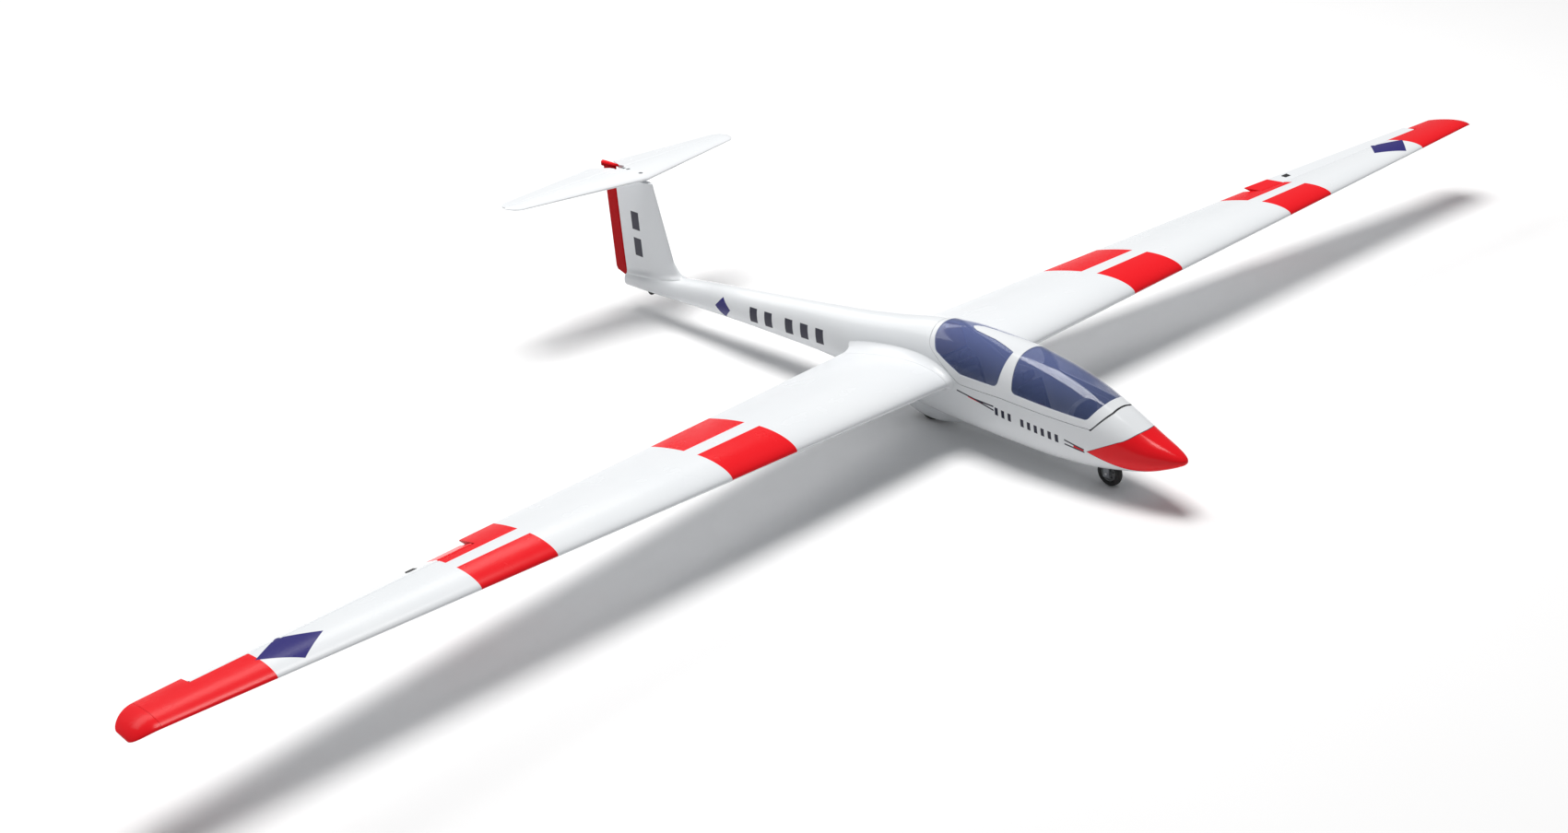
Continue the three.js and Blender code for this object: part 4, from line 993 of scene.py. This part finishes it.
def fuselage():
    shell = hull_form("fuselage_body", 0)
    join(shell, wing_carry_through(), root_fairing(1), root_fairing(-1), fin_form(), belly_fairing())
    cut(shell, hull_form("inner_hull", SKIN, NOSE_CAP_Y, INNER_END_Y, around=64, pitch=12.0))
    cut(shell, fin_hollow(), prism("hatch_opening", hatch_outline(HATCH_ROOM)))
    cut(shell, wheel_well(NOSE_WHEEL, 9.5, 27, -10, 48), wheel_well(MAIN_WHEEL, 9.2, 31, -10, 24))
    cut(shell, wheel_well(MAIN_WHEEL, 12, 32, 20, 60), wheel_well(TAIL_WHEEL, 4, 12, -10, 60))
    axle = (TAIL_WHEEL["y"], TAIL_WHEEL["z"])
    cut(shell, rod("tail_axle_hole", (-12, *axle), (12, *axle), 1.4, 16))
    cut(shell, *wing_bores(1, ROOT_X + 5), *wing_bores(-1, ROOT_X + 5))
    cut(shell, block("rod_outlet", 9, 23, 722, 850, 58, 68), block("horn_slot", 1, 23, 812, 850, 63, 69))
    for y, radius in ((CABLE_TOP_Y, 2), *((y, TAIL_BOLT_BORE) for y in TAIL_BOLTS)):
        cut(shell, rod("fin_bore", (0, y, 220), (0, y, 260), radius, 20))
    cut(shell, seam())
    finish_moulding(shell, "fuselage_gelcoat", "fuselage", "white_gelcoat", "fuselage_shell")


# ---- canopy
def hatch_outline(distance):
    return grow(rounded(HATCH, (4, 7, 0, 0, 12, 22, 26, 40)), distance)


def seam():
    """A shallow groove along the hatch's front edge, cut in the hatch and in the fuselage alike."""
    (y0, z0), (y1, z1) = HATCH[:2]
    outline = [(y0 + 1.5, z0 - 1), (y0 - 1, z0 - 1), (y1 - 1, z1 - 0.5), (y1 - 1, 200), (y1 + 1.7, 200),
               (y1 + 1.7, z1 + 0.5)]
    return cut(prism("seam", outline), hull_form("seam_floor", SEAM_DEPTH))


def tongue(extra):
    """The point of the frame that runs back from the bow over the rear window."""
    edge = [(24, -104), (20.5, -96), (16, -76), (12, -55), (10.8, -38), (9.4, -26), (8, -15), (4, -6),
            (0, -2)]
    outline = [(x + extra if x else 0, y + (extra if x < 10 else 0)) for x, y in edge]
    mirrored = [(-x, y) for x, y in outline[:-1]][::-1]
    return slab("tongue", outline + mirrored, 150, 195)


def window_form(name, gap):
    """The window's side view swept across, smaller by a gap all round."""
    outline, radii = WINDOWS[name]
    form = prism("window_form", grow(rounded(outline, radii), -gap))
    return cut(form, tongue(gap)) if name == "rear" else form


def hull_skin(name, outer, inner, around, pitch):
    """A shell between two depths under the fuselage's surface."""
    inside = hull_form("inside", inner, NOSE_CAP_Y, INNER_END_Y, around=around, pitch=pitch)
    return cut(hull_form(name, outer, around=144, pitch=4.0), inside)


def canopy():
    frame_piece = hull_skin("canopy_frame_body", 0, SKIN, 96, 8.0)
    common(frame_piece, prism("hatch_form", hatch_outline(-HATCH_INSET)))
    cut(frame_piece, window_form("front", 0), window_form("rear", 0))
    arch = block("rear_arch", -80, 80, 49.5, 52, 150, 200)
    common(arch, hull_form("arch_form", SKIN - 0.5, around=96, pitch=8.0))
    common(arch, prism("arch_trim", hatch_outline(-1.2)))
    join(frame_piece, arch)
    cut(frame_piece, seam())
    finish_moulding(frame_piece, "frame_gelcoat", "canopy", "white_gelcoat", "canopy_frame")
    for name in WINDOWS:
        pane = hull_skin(f"{name}_window_glass", GLASS_OUTER, GLASS_INNER, 144, 4.0)
        common(pane, window_form(name, WINDOW_GAP))
        finish_moulding(pane, "tint", "canopy", "canopy_tint", f"{name}_canopy_window")


# ---- wings
def wing_panel(name, side):
    stations = [ROOT_X + 0.3, *np.arange(80, CAP_X - 5, 20), CAP_X]
    panel = loft(f"{name}_wing_body", [wing_ring(side, x) for x in stations])
    ends = (AILERON_INNER_X - AILERON_END_GAP, AILERON_OUTER_X + AILERON_END_GAP)
    bay = [(side * x, aileron_axis_point(side, x)[1] - hinge_radius(x) - AILERON_GAP) for x in ends]
    bay += [(side * x, 240) for x in ends[::-1]]
    cut(panel, slab("aileron_bay", bay, 0, 200))
    cut(panel, *wing_bores(side, 324), servo_pocket(side))
    finish_piece(panel, "wing_film", f"{name}_wing", "white_film", f"{name}_wing_panel")


def servo_pocket(side):
    corners = ((0.27, 1, -2), (0.6, 1, -2), (0.6, -1, -5), (0.27, -1, -5))
    return loft("servo_pocket", [[wing_surface(side, x, share, face) + (0, 0, lift)
                                  for share, face, lift in corners]
                                 for x in (POCKET_INNER_X, POCKET_OUTER_X)])


def servo_cover(name, side):
    """A thin plate over the servo, following the wing's lower skin, with a slot and four screw sinks."""
    shares = np.linspace(0.28, 0.59, 12)
    rings = []
    for x in np.linspace(POCKET_INNER_X + 1, POCKET_OUTER_X - 1, 12):
        low = wing_surface(side, x, shares, -1)
        rings.append(np.vstack([low + (0, 0, 1.2), low[::-1]]))
    plate = loft(f"{name}_servo_cover_plate", rings)
    shaft = wing_point(side, HORN_X, 0.47, 0.0175)
    cut(plate, block("arm_slot", shaft[0] - 3.5, shaft[0] + 3.5, shaft[1] - 9, shaft[1] + 9, 60, shaft[2]))
    for x in (POCKET_INNER_X + 4, POCKET_OUTER_X - 4):
        for share in (0.3, 0.57):
            at = wing_surface(side, x, share, -1)
            cut(plate, rod("screw_sink", at - (0, 0, 2), at + (0, 0, 0.5), 1.5, 24))
    finish_piece(plate, "white", f"{name}_wing", "white_plastic", f"{name}_servo_cover")


def aileron_axis(side):
    inner = aileron_axis_point(side, AILERON_INNER_X)
    outer = aileron_axis_point(side, AILERON_OUTER_X)
    return inner, unit(outer - inner) * side


def aileron(name, side):
    inner, axis = aileron_axis(side)
    rings = []
    for x in np.linspace(AILERON_INNER_X, AILERON_OUTER_X, 24):
        ring = flap_ring(aileron_axis_point(side, x), hinge_radius(x), wing_point(side, x, 1, 0))
        rings.append(turned(ring, inner, axis, side * AILERON_REST))
    flap = loft(f"{name}_aileron_body", rings)
    finish_piece(flap, "aileron_film", f"{name}_aileron", "white_film", f"{name}_aileron")


def tip_cap(name, side):
    reach = SPAN / 2 - CAP_X
    rings = []
    for t in (0.01, *np.sin(np.linspace(0.12, math.pi / 2, 22))):
        x = CAP_X + reach * t
        shrink = max(math.sqrt(max(1 - t * t, 0)), 0.02)
        middle = wing_point(side, x, 0.45, 0)
        ring = wing_ring(side, x)
        ring[:, 1] = middle[1] + (ring[:, 1] - middle[1]) * (0.35 + 0.65 * shrink)
        ring[:, 2] = middle[2] + (ring[:, 2] - middle[2]) * (0.04 + 0.96 * shrink) - TIP_DROOP * t * t
        rings.append(ring)
    cap = loft(f"{name}_tip_body", rings)
    finish_piece(cap, "red_film", f"{name}_wing", "red_film", f"{name}_tip_cap")


# ---- tail
def tail_leading_y(x):
    return TAIL_LEAD_Y + TAIL_LEAD_SWEEP * x


def tail_trailing_y(x):
    return TAIL_TRAIL_Y - TAIL_TRAIL_TAPER * x


def elevator_radius(x):
    y0 = tail_leading_y(x)
    chord = tail_trailing_y(x) - y0
    return chord * float(foil_height((ELEVATOR_HINGE_Y - y0) / chord, 1, TAIL_THICKNESS, 0)) + 0.3


def out_to_tip(start, inner, pitch, steps):
    """Stations along half the tail, closer together round its tip."""
    tip = inner + TAIL_TIP * np.sin(np.linspace(0, math.pi / 2, steps))
    return [*np.arange(start, inner - 4, pitch), *tip]


def stabiliser_ring(x):
    out = abs(x)
    shrink = math.sqrt(max(1 - (max(out - TAIL_HALF_SPAN + TAIL_TIP, 0) / 19) ** 2, 0.02))
    y0 = tail_leading_y(out) + 34 * (1 - shrink)
    chord = tail_trailing_y(out) - y0
    rear = ELEVATOR_HINGE_Y - elevator_radius(out) - 0.6
    ratio = TAIL_THICKNESS * (0.35 + 0.65 * shrink)
    shares, heights = foil_outline(ratio, 0, EDGE / chord, (rear - y0) / chord).T
    return np.stack([np.full(len(shares), x), y0 + chord * shares, TAIL_Z + chord * heights], 1)


def tailplane():
    half = out_to_tip(0, TAIL_HALF_SPAN - TAIL_TIP, 10, 12)
    stations = [-x for x in half[:0:-1]] + half
    plane = loft("tailplane_body", [stabiliser_ring(x) for x in stations])
    for y in TAIL_BOLTS:
        cut(plane, rod("bolt_hole", (0, y, 236), (0, y, 276), TAIL_BOLT_BORE, 20))
        cut(plane, rod("counterbore", (0, y, 259), (0, y, 276), 3.8, 24))
    cut(plane, block("horn_slot", -3, 3, 812, 830, 241, 271))
    finish_piece(plane, "tail_film", "fuselage", "white_film", "tailplane")


def elevator_half(name, side):
    rings = []
    tip = TAIL_HALF_SPAN - TAIL_TIP - 3
    for x in out_to_tip(9, tip, 12, 9):
        shrink = math.sqrt(max(1 - (max(x - tip, 0) / 20) ** 2, 0.06))
        end = ELEVATOR_HINGE_Y + (tail_trailing_y(x) - ELEVATOR_HINGE_Y) * shrink
        radius = elevator_radius(x) * (0.4 + 0.6 * shrink)
        rings.append(flap_ring((side * x, ELEVATOR_HINGE_Y, TAIL_Z), radius, (side * x, end, TAIL_Z)))
    half = loft(f"{name}_elevator_body", rings)
    notch = [(0, 820), (10, 820), (10, 842), (29, 890), (0, 890)]
    cut(half, slab("notch", [(side * x, y) for x, y in notch], 236, 276))
    cut(half, rod("wire_bore", (-37, ELEVATOR_HINGE_Y, TAIL_Z), (37, ELEVATOR_HINGE_Y, TAIL_Z), 1.55, 20))
    finish_piece(half, "tail_film", "elevator", "white_film", f"{name}_elevator")


def rudder_ring(z, end):
    return flap_ring((0, FIN_HINGE_Y, z), RUDDER_NOSE, (0, end, z), span=(0, 0, 1), along=6)


def rudder_top_fairing():
    """The pointed fairing on top: its upper edge rounded over, its lower part only behind the hinge."""
    front, rear, half = 829, RUDDER_END_Y + 2, 4
    rings = []
    for t in (-1.0, *np.linspace(0, 1, 9)):
        width = math.sqrt(1 - max(t, 0.0) ** 2) * 0.9 + 0.1
        side = []
        for s in np.linspace(0, 1, 16):
            y = (1 - s) ** 2 * front + 2 * s * (1 - s) * (front + 17) + s * s * rear
            x = 2 * s * (1 - s) * (half + 1.5) + s * s * half
            side.append((x * width, min(y + (1 - width) * 2.5, rear)))
        z = RUDDER_TOP_Z - 0.5 + 4.5 * t
        rings.append([(x, y, z) for x, y in side] + [(-x, y, z) for x, y in side[:0:-1]])
    fairing = loft("top_fairing", rings)
    room = block("tailplane_room", -10, 10, front - 5, FIN_HINGE_Y + 2, 250, RUDDER_TOP_Z - 0.5)
    return cut(fairing, room)


def rudder():
    bottom = rudder_ring(RUDDER_BOTTOM_Z, RUDDER_END_Y - 3)
    bottom[:, 2] += np.maximum(bottom[:, 1] - FIN_HINGE_Y, 0) * 0.18
    rings = [bottom] + [rudder_ring(z, RUDDER_END_Y) for z in (72, 84, *range(96, 256, 16), RUDDER_TOP_Z)]
    body = loft("rudder_body", rings)
    cut(body, rod("hinge_bore", (0, FIN_HINGE_Y, 50), (0, FIN_HINGE_Y, RUDDER_TOP_Z - 3), 1.3, 20))
    cut(body, block("horn_slit", 2.2, 20, FIN_HINGE_Y - 3.3, FIN_HINGE_Y + 3.3, 64.7, 67.3))
    join(body, rudder_top_fairing())
    finish_piece(body, "rudder_film_painted_shade", "rudder", "red_film", "rudder")


# ---- wheels
SIDEWALL = 0.62


def tyre(name, wheel):
    """A tyre with three grooves round its tread and a beaded inner edge."""
    radius, width = wheel["radius"], wheel["width"]
    section, core = width / 2, radius - width * SIDEWALL
    bead = [(core, -section * 0.66), (core + 0.8, -section * 0.8)]
    profile = bead[:]
    for angle in np.linspace(-math.pi / 2, math.pi / 2, 61):
        across = section * math.sin(angle)
        groove = sum(math.exp(-((across - g * section) / 0.45) ** 2) for g in (-0.5, 0, 0.5))
        profile.append((radius - section * 0.8 + section * 0.8 * math.cos(angle) - 0.55 * groove, across))
    ring = lathe(f"{name}_tyre_body", profile + other_side(bead), (0, wheel["y"], wheel["z"]))
    finish_piece(ring, "rubber", f"{name}_wheel", "wheel_rubber", f"{name}_tyre", angle=50)


def hub(name, wheel):
    """A moulded hub: dished both sides, with a raised boss and five lightening holes."""
    rim = wheel["radius"] - wheel["width"] * SIDEWALL - 0.3
    half, bore = wheel["width"] / 2, 2.1
    outline = [(bore, -half * 0.86), (bore + 0.4, -half * 0.9), (bore + 2.6, -half * 0.9),
               (bore + 3.1, -half * 0.82), (bore + 3.6, -half * 0.45), (rim - 2.2, -half * 0.4),
               (rim - 1.0, -half * 0.72), (rim - 0.4, -half * 0.76), (rim, -half * 0.7)]
    disc = lathe(f"{name}_hub_body", outline + other_side(outline), (0, wheel["y"], wheel["z"]))
    ring_radius = (bore + 3.6 + rim - 2.2) / 2
    hole = max((rim - 2.2 - bore - 3.6) / 2 - 0.4, 0.5)
    for turn in turns(5) + 0.3:
        y, z = wheel["y"] + ring_radius * math.cos(turn), wheel["z"] + ring_radius * math.sin(turn)
        cut(disc, rod("lightening_hole", (-20, y, z), (20, y, z), hole, 24))
    finish_piece(disc, "hub", f"{name}_wheel", "wheel_hub", f"{name}_hub")


def tail_wheel():
    radius, half, bore = TAIL_WHEEL["radius"], TAIL_WHEEL["width"] / 2, 1.3
    disc = [(bore, -half * 0.9), (bore + 2.5, -half * 0.9), (bore + 3, -half * 0.6), (5.4, -half * 0.6),
            (5.9, -half * 0.95), (radius - 1, -half)]
    tread = [(radius - 1.2 + 1.2 * math.cos(angle), half * math.sin(angle))
             for angle in np.linspace(-math.pi / 2, math.pi / 2, 13)]
    profile = disc + tread + other_side(disc)
    wheel = lathe("tail_wheel_body", profile, (0, TAIL_WHEEL["y"], TAIL_WHEEL["z"]), 64)
    finish_piece(wheel, "rubber", "tail_wheel", "wheel_rubber", "tail_wheel")


# ---- cockpit
SEATS = (("front", -122), ("rear", 2))
DIALS = ((-14, 19, 5), (0, 18, 6), (14, 19, 5), (-7, 30.5, 3.6), (7, 30.5, 3.6))
SEAT_LINE = ((-37, 5), (-35, 8.5), (-32, 10), (-6, 10), (3, 16), (12, 40), (18, 66), (21, 82))


def seat_shell(name, y0):
    """A moulded bucket: a thin curved sheet from the squab's lip to the headrest, with raised sides."""
    line = np.array(rounded([(y, z - 3.2) for y, z in SEAT_LINE], (0, 3, 4, 8, 10, 20, 20, 0), 5))[1:-1]
    line = np.array([p for i, p in enumerate(line) if i == 0 or np.linalg.norm(p - line[i - 1]) > 0.3])
    normal = -beside(np.gradient(line, axis=0))
    rings = []
    for (y, z), (ny, nz) in zip(line, normal):
        narrow = np.clip((z - 58) / 18, 0, 1)
        half = 26 - 11 * narrow**1.3
        across = np.linspace(-1, 1, 25)
        rise = 4.5 * np.abs(across) ** 5 * (1 - 0.6 * narrow)
        ring = []
        for wider, drop, lowest, order in ((0, 0, 0.3, 1), (0.9, 2.0, 0.05, -1)):
            ring += [(a * (half + wider), y0 + y + ny * r, FLOOR_Z + max(z + nz * r, lowest))
                     for a, r in zip(across[::order], rise[::order] - drop)]
        rings.append(ring)
    shell = loft(f"{name}_shell", rings)
    finish_piece(shell, "black", "fuselage", "seat_cloth", name)


def cushion_form(name, width, length, depth):
    """A rounded block ten times full size, for the cloth solver."""
    rings = rounded_block(width / 2, length / 2, depth / 2, 3.2, 14, 56)
    return loft(name, rings * 10 - (0, SHIFT_Y, 0))


def inflate(piece, cap):
    """Blows the cushion up a little with the cloth solver, no point moving further than cap metres."""
    remesh = piece.modifiers.new("remesh", "REMESH")
    remesh.mode = "VOXEL"
    remesh.voxel_size = 0.011
    settle(piece)
    start = fetch(piece.data.vertices, "co", 3)
    solver = piece.modifiers.new("pad", "CLOTH")
    solver.settings.use_pressure = True
    solver.settings.uniform_pressure_force = 4
    solver.settings.effector_weights.gravity = 0
    scene = bpy.context.scene
    for step in range(1, 21):
        scene.frame_set(step)
        bpy.context.view_layer.update()
    settle(piece)
    scene.frame_set(1)
    moved = fetch(piece.data.vertices, "co", 3) - start
    length = np.linalg.norm(moved, axis=1)
    moved *= np.minimum(1, cap / np.maximum(length, 1e-9))[:, None]
    piece.data.vertices.foreach_set("co", (start + moved).ravel())
    smooth = piece.modifiers.new("finer", "SUBSURF")
    smooth.levels = smooth.render_levels = 1
    return settle(piece)


def sew(points, length, channels):
    """Pulls in sewn channels across the pad and a welt seam round its edge."""
    x, y, z = points.T
    top = np.clip(z / 1.5, 0, 1)
    for line in channels:
        z = z - 0.75 * top * np.exp(-((y - line * length) / 0.8) ** 2)
    rim = np.exp(-(z / 0.45) ** 2)
    pull = 1 - 0.035 * rim
    return np.stack([x * pull, y * pull, z], 1)


def cushion(name, width, length, depth, channels, places):
    """One pad, simulated once and set in each of its places: (piece name, centre, tilt)."""
    form = inflate(cushion_form(name, width, length, depth), 0.012)
    points = fetch(form.data.vertices, "co", 3) / MM / 10
    points = sew(points, length, channels)
    faces = [list(p.vertices) for p in form.data.polygons]
    bpy.data.objects.remove(form)
    for piece_name, centre, tilt in places:
        turn = np.array(Matrix.Rotation(tilt, 3, "X"))
        pad = add_object(piece_name, points @ turn.T + centre, faces)
        finish_piece(pad, "cloth", "fuselage", "seat_cloth", angle=60)


def cushions():
    lean = math.atan2(50, 13.5)
    for part, width, length, channels, back, up, tilt in (
            ("seat_squab", 45, 29, (-0.2, 0.2), -19.5, 9.4, 0.0),
            ("seat_back", 43, 40, (-0.25, 0.0, 0.25), 6.6, 37, lean),
            ("headrest", 24, 13, (), 17.3, 74.5, lean)):
        places = [(f"{name}_{part}", (0, y + back, FLOOR_Z + up), tilt) for name, y in SEATS]
        cushion(f"{part}_form", width, length, 4.6, channels, places)


def binnacle(name, y, top, half, dials):
    """A hooded instrument panel on a pillar, with its dials set in raised rings."""
    shoulder = top - 12
    right = [(9, FLOOR_Z), (11, shoulder - 22), (half, shoulder - 14), (half, shoulder),
             (half * 0.7, top - 3), (half * 0.3, top)]
    outline = rounded(right + [(-x, z) for x, z in right[::-1]], (0, 5, 3, 3, 5, 5, 5, 5, 3, 3, 5, 0), 5)
    inner = grow(outline, -0.8)
    rings = []
    for depth, ring in ((0, inner), (0.8, outline), (8.2, outline), (9, inner)):
        rings.append([(x, y + depth, z) for x, z in ring])
    panel = loft(f"{name}_body", rings)
    finish_piece(panel, "grey", "fuselage", "black_plastic", name)
    for k, (x, z, radius) in enumerate(dials):
        profile = [(radius, -0.2), (radius, 0.7), (radius + 0.25, 0.95), (radius + 0.8, 0.95),
                   (radius + 1.1, 0.7), (radius + 1.1, -0.2)]
        centre = (x, y + 9, z)
        bezel = lathe(f"{name}_bezel_{k}", profile, centre, 40, "y", 0.002)
        finish_piece(bezel, "black", "fuselage", "black_plastic")
        profile = [(0.05, -0.2), (0.05, 0.35), (radius, 0.25), (radius, -0.2)]
        face = lathe(f"{name}_dial_{k}", profile, centre, 40, "y", 0.002)
        finish_piece(face, "dial", "fuselage", "black_plastic")


def cockpit():
    for name, y in SEATS:
        seat_shell(f"{name}_seat", y)
    cushions()
    for name, y, top, half in (("front", -208, 116, 25), ("rear", -88, 124, 26)):
        dials = [(x, top - drop, radius) for x, drop, radius in DIALS]
        binnacle(f"{name}_instrument_panel", y, top, half, dials)


# ---- carried-over CAD pieces
DRESS = {
    "black": ("receiver", "servo", "horn", "cable_tube"),
    "white": ("servo_arm",),
    "ply": ("tray", "former"),
    "grey": ("floor", "bracket"),
    "wrap": ("battery",),
    "steel": ("magnet", "axle", "bolt", "wire", "pin", "rod"),
}


def dress(name, material):
    """A better material and softened edges on a CAD piece whose shape is kept."""
    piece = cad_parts[name]
    for slot in piece.material_slots:
        slot.material = MATERIALS[material]
    small = min(high - low for low, high in zip(*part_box(name)))
    bevel = piece.modifiers.new("edges", "BEVEL")
    bevel.width = min(0.35 * MM, small * 0.12)
    bevel.segments = 2
    bevel.limit_method = "ANGLE"
    bevel.angle_limit = math.radians(40)


# ---- the model
fuselage()
canopy()
for side_name, wing_side in (("left", 1), ("right", -1)):
    for make in (wing_panel, servo_cover, aileron, tip_cap, elevator_half):
        make(side_name, wing_side)
tailplane()
rudder()
for wheel_name, wheel_size in (("nose", NOSE_WHEEL), ("main", MAIN_WHEEL)):
    tyre(wheel_name, wheel_size)
    hub(wheel_name, wheel_size)
tail_wheel()
cockpit()
for dress_material, endings in DRESS.items():
    for node_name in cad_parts:
        if node_name.endswith(endings):
            dress(node_name, dress_material)


# ---- floor, light and camera
def studio_floor():
    half = 14000
    floor = block("studio_floor", -half, half, -half, half, -20, 0)
    paper = substance("floor_paper", (0.86, 0.86, 0.865), (0.88, 0.88, 0.885), (400,), (90, 0.8, 0.95))
    floor.data.materials.append(paper)


def area_light(name, location, target, size, power, colour=(1, 1, 1)):
    light = bpy.data.lights.new(name, "AREA")
    light.shape = "RECTANGLE"
    light.size, light.size_y = size
    light.energy = power
    light.color = colour
    lamp = link(name, light)
    lamp.location = location
    lamp.rotation_euler = (Vector(target) - Vector(location)).to_track_quat("-Z", "Y").to_euler()


def studio_light():
    world = bpy.data.worlds.new("studio")
    world.use_nodes = True
    background = world.node_tree.nodes["Background"]
    background.inputs["Color"].default_value = (0.93, 0.96, 1.0, 1.0)
    background.inputs["Strength"].default_value = 0.2
    bpy.context.scene.world = world
    area_light("key", (0.3, 0.9, 6.0), (0, 0.1, 0), (3.0, 3.0), 400, (1.0, 0.99, 0.975))
    area_light("backdrop", (0.5, 7.5, 5.0), (0.5, 7.0, 0), (9.0, 3.0), 300, (1.0, 0.99, 0.975))


def camera():
    """The photograph's view: direction, distance and the slight roll."""
    azimuth, elevation, roll = (math.radians(a) for a in (39.14581, 24.89371, -5.42764))
    distance, lens = 3.051525, 44.7486
    target = Vector((-0.100488, 0.073916, -0.026352))
    turn = (Matrix.Rotation(-azimuth, 4, "Z") @ Matrix.Rotation(math.pi / 2 - elevation, 4, "X")
            @ Matrix.Rotation(roll, 4, "Z"))
    view = bpy.data.cameras.new("view")
    view.lens = lens
    view.sensor_width = 36
    view.clip_end = 60
    bpy.context.scene.camera = link("view", view)
    bpy.context.scene.camera.matrix_world = (
        Matrix.Translation(target) @ turn @ Matrix.Translation((0, 0, distance)))


studio_floor()
studio_light()
camera()
bpy.context.scene.view_settings.view_transform = "Standard"
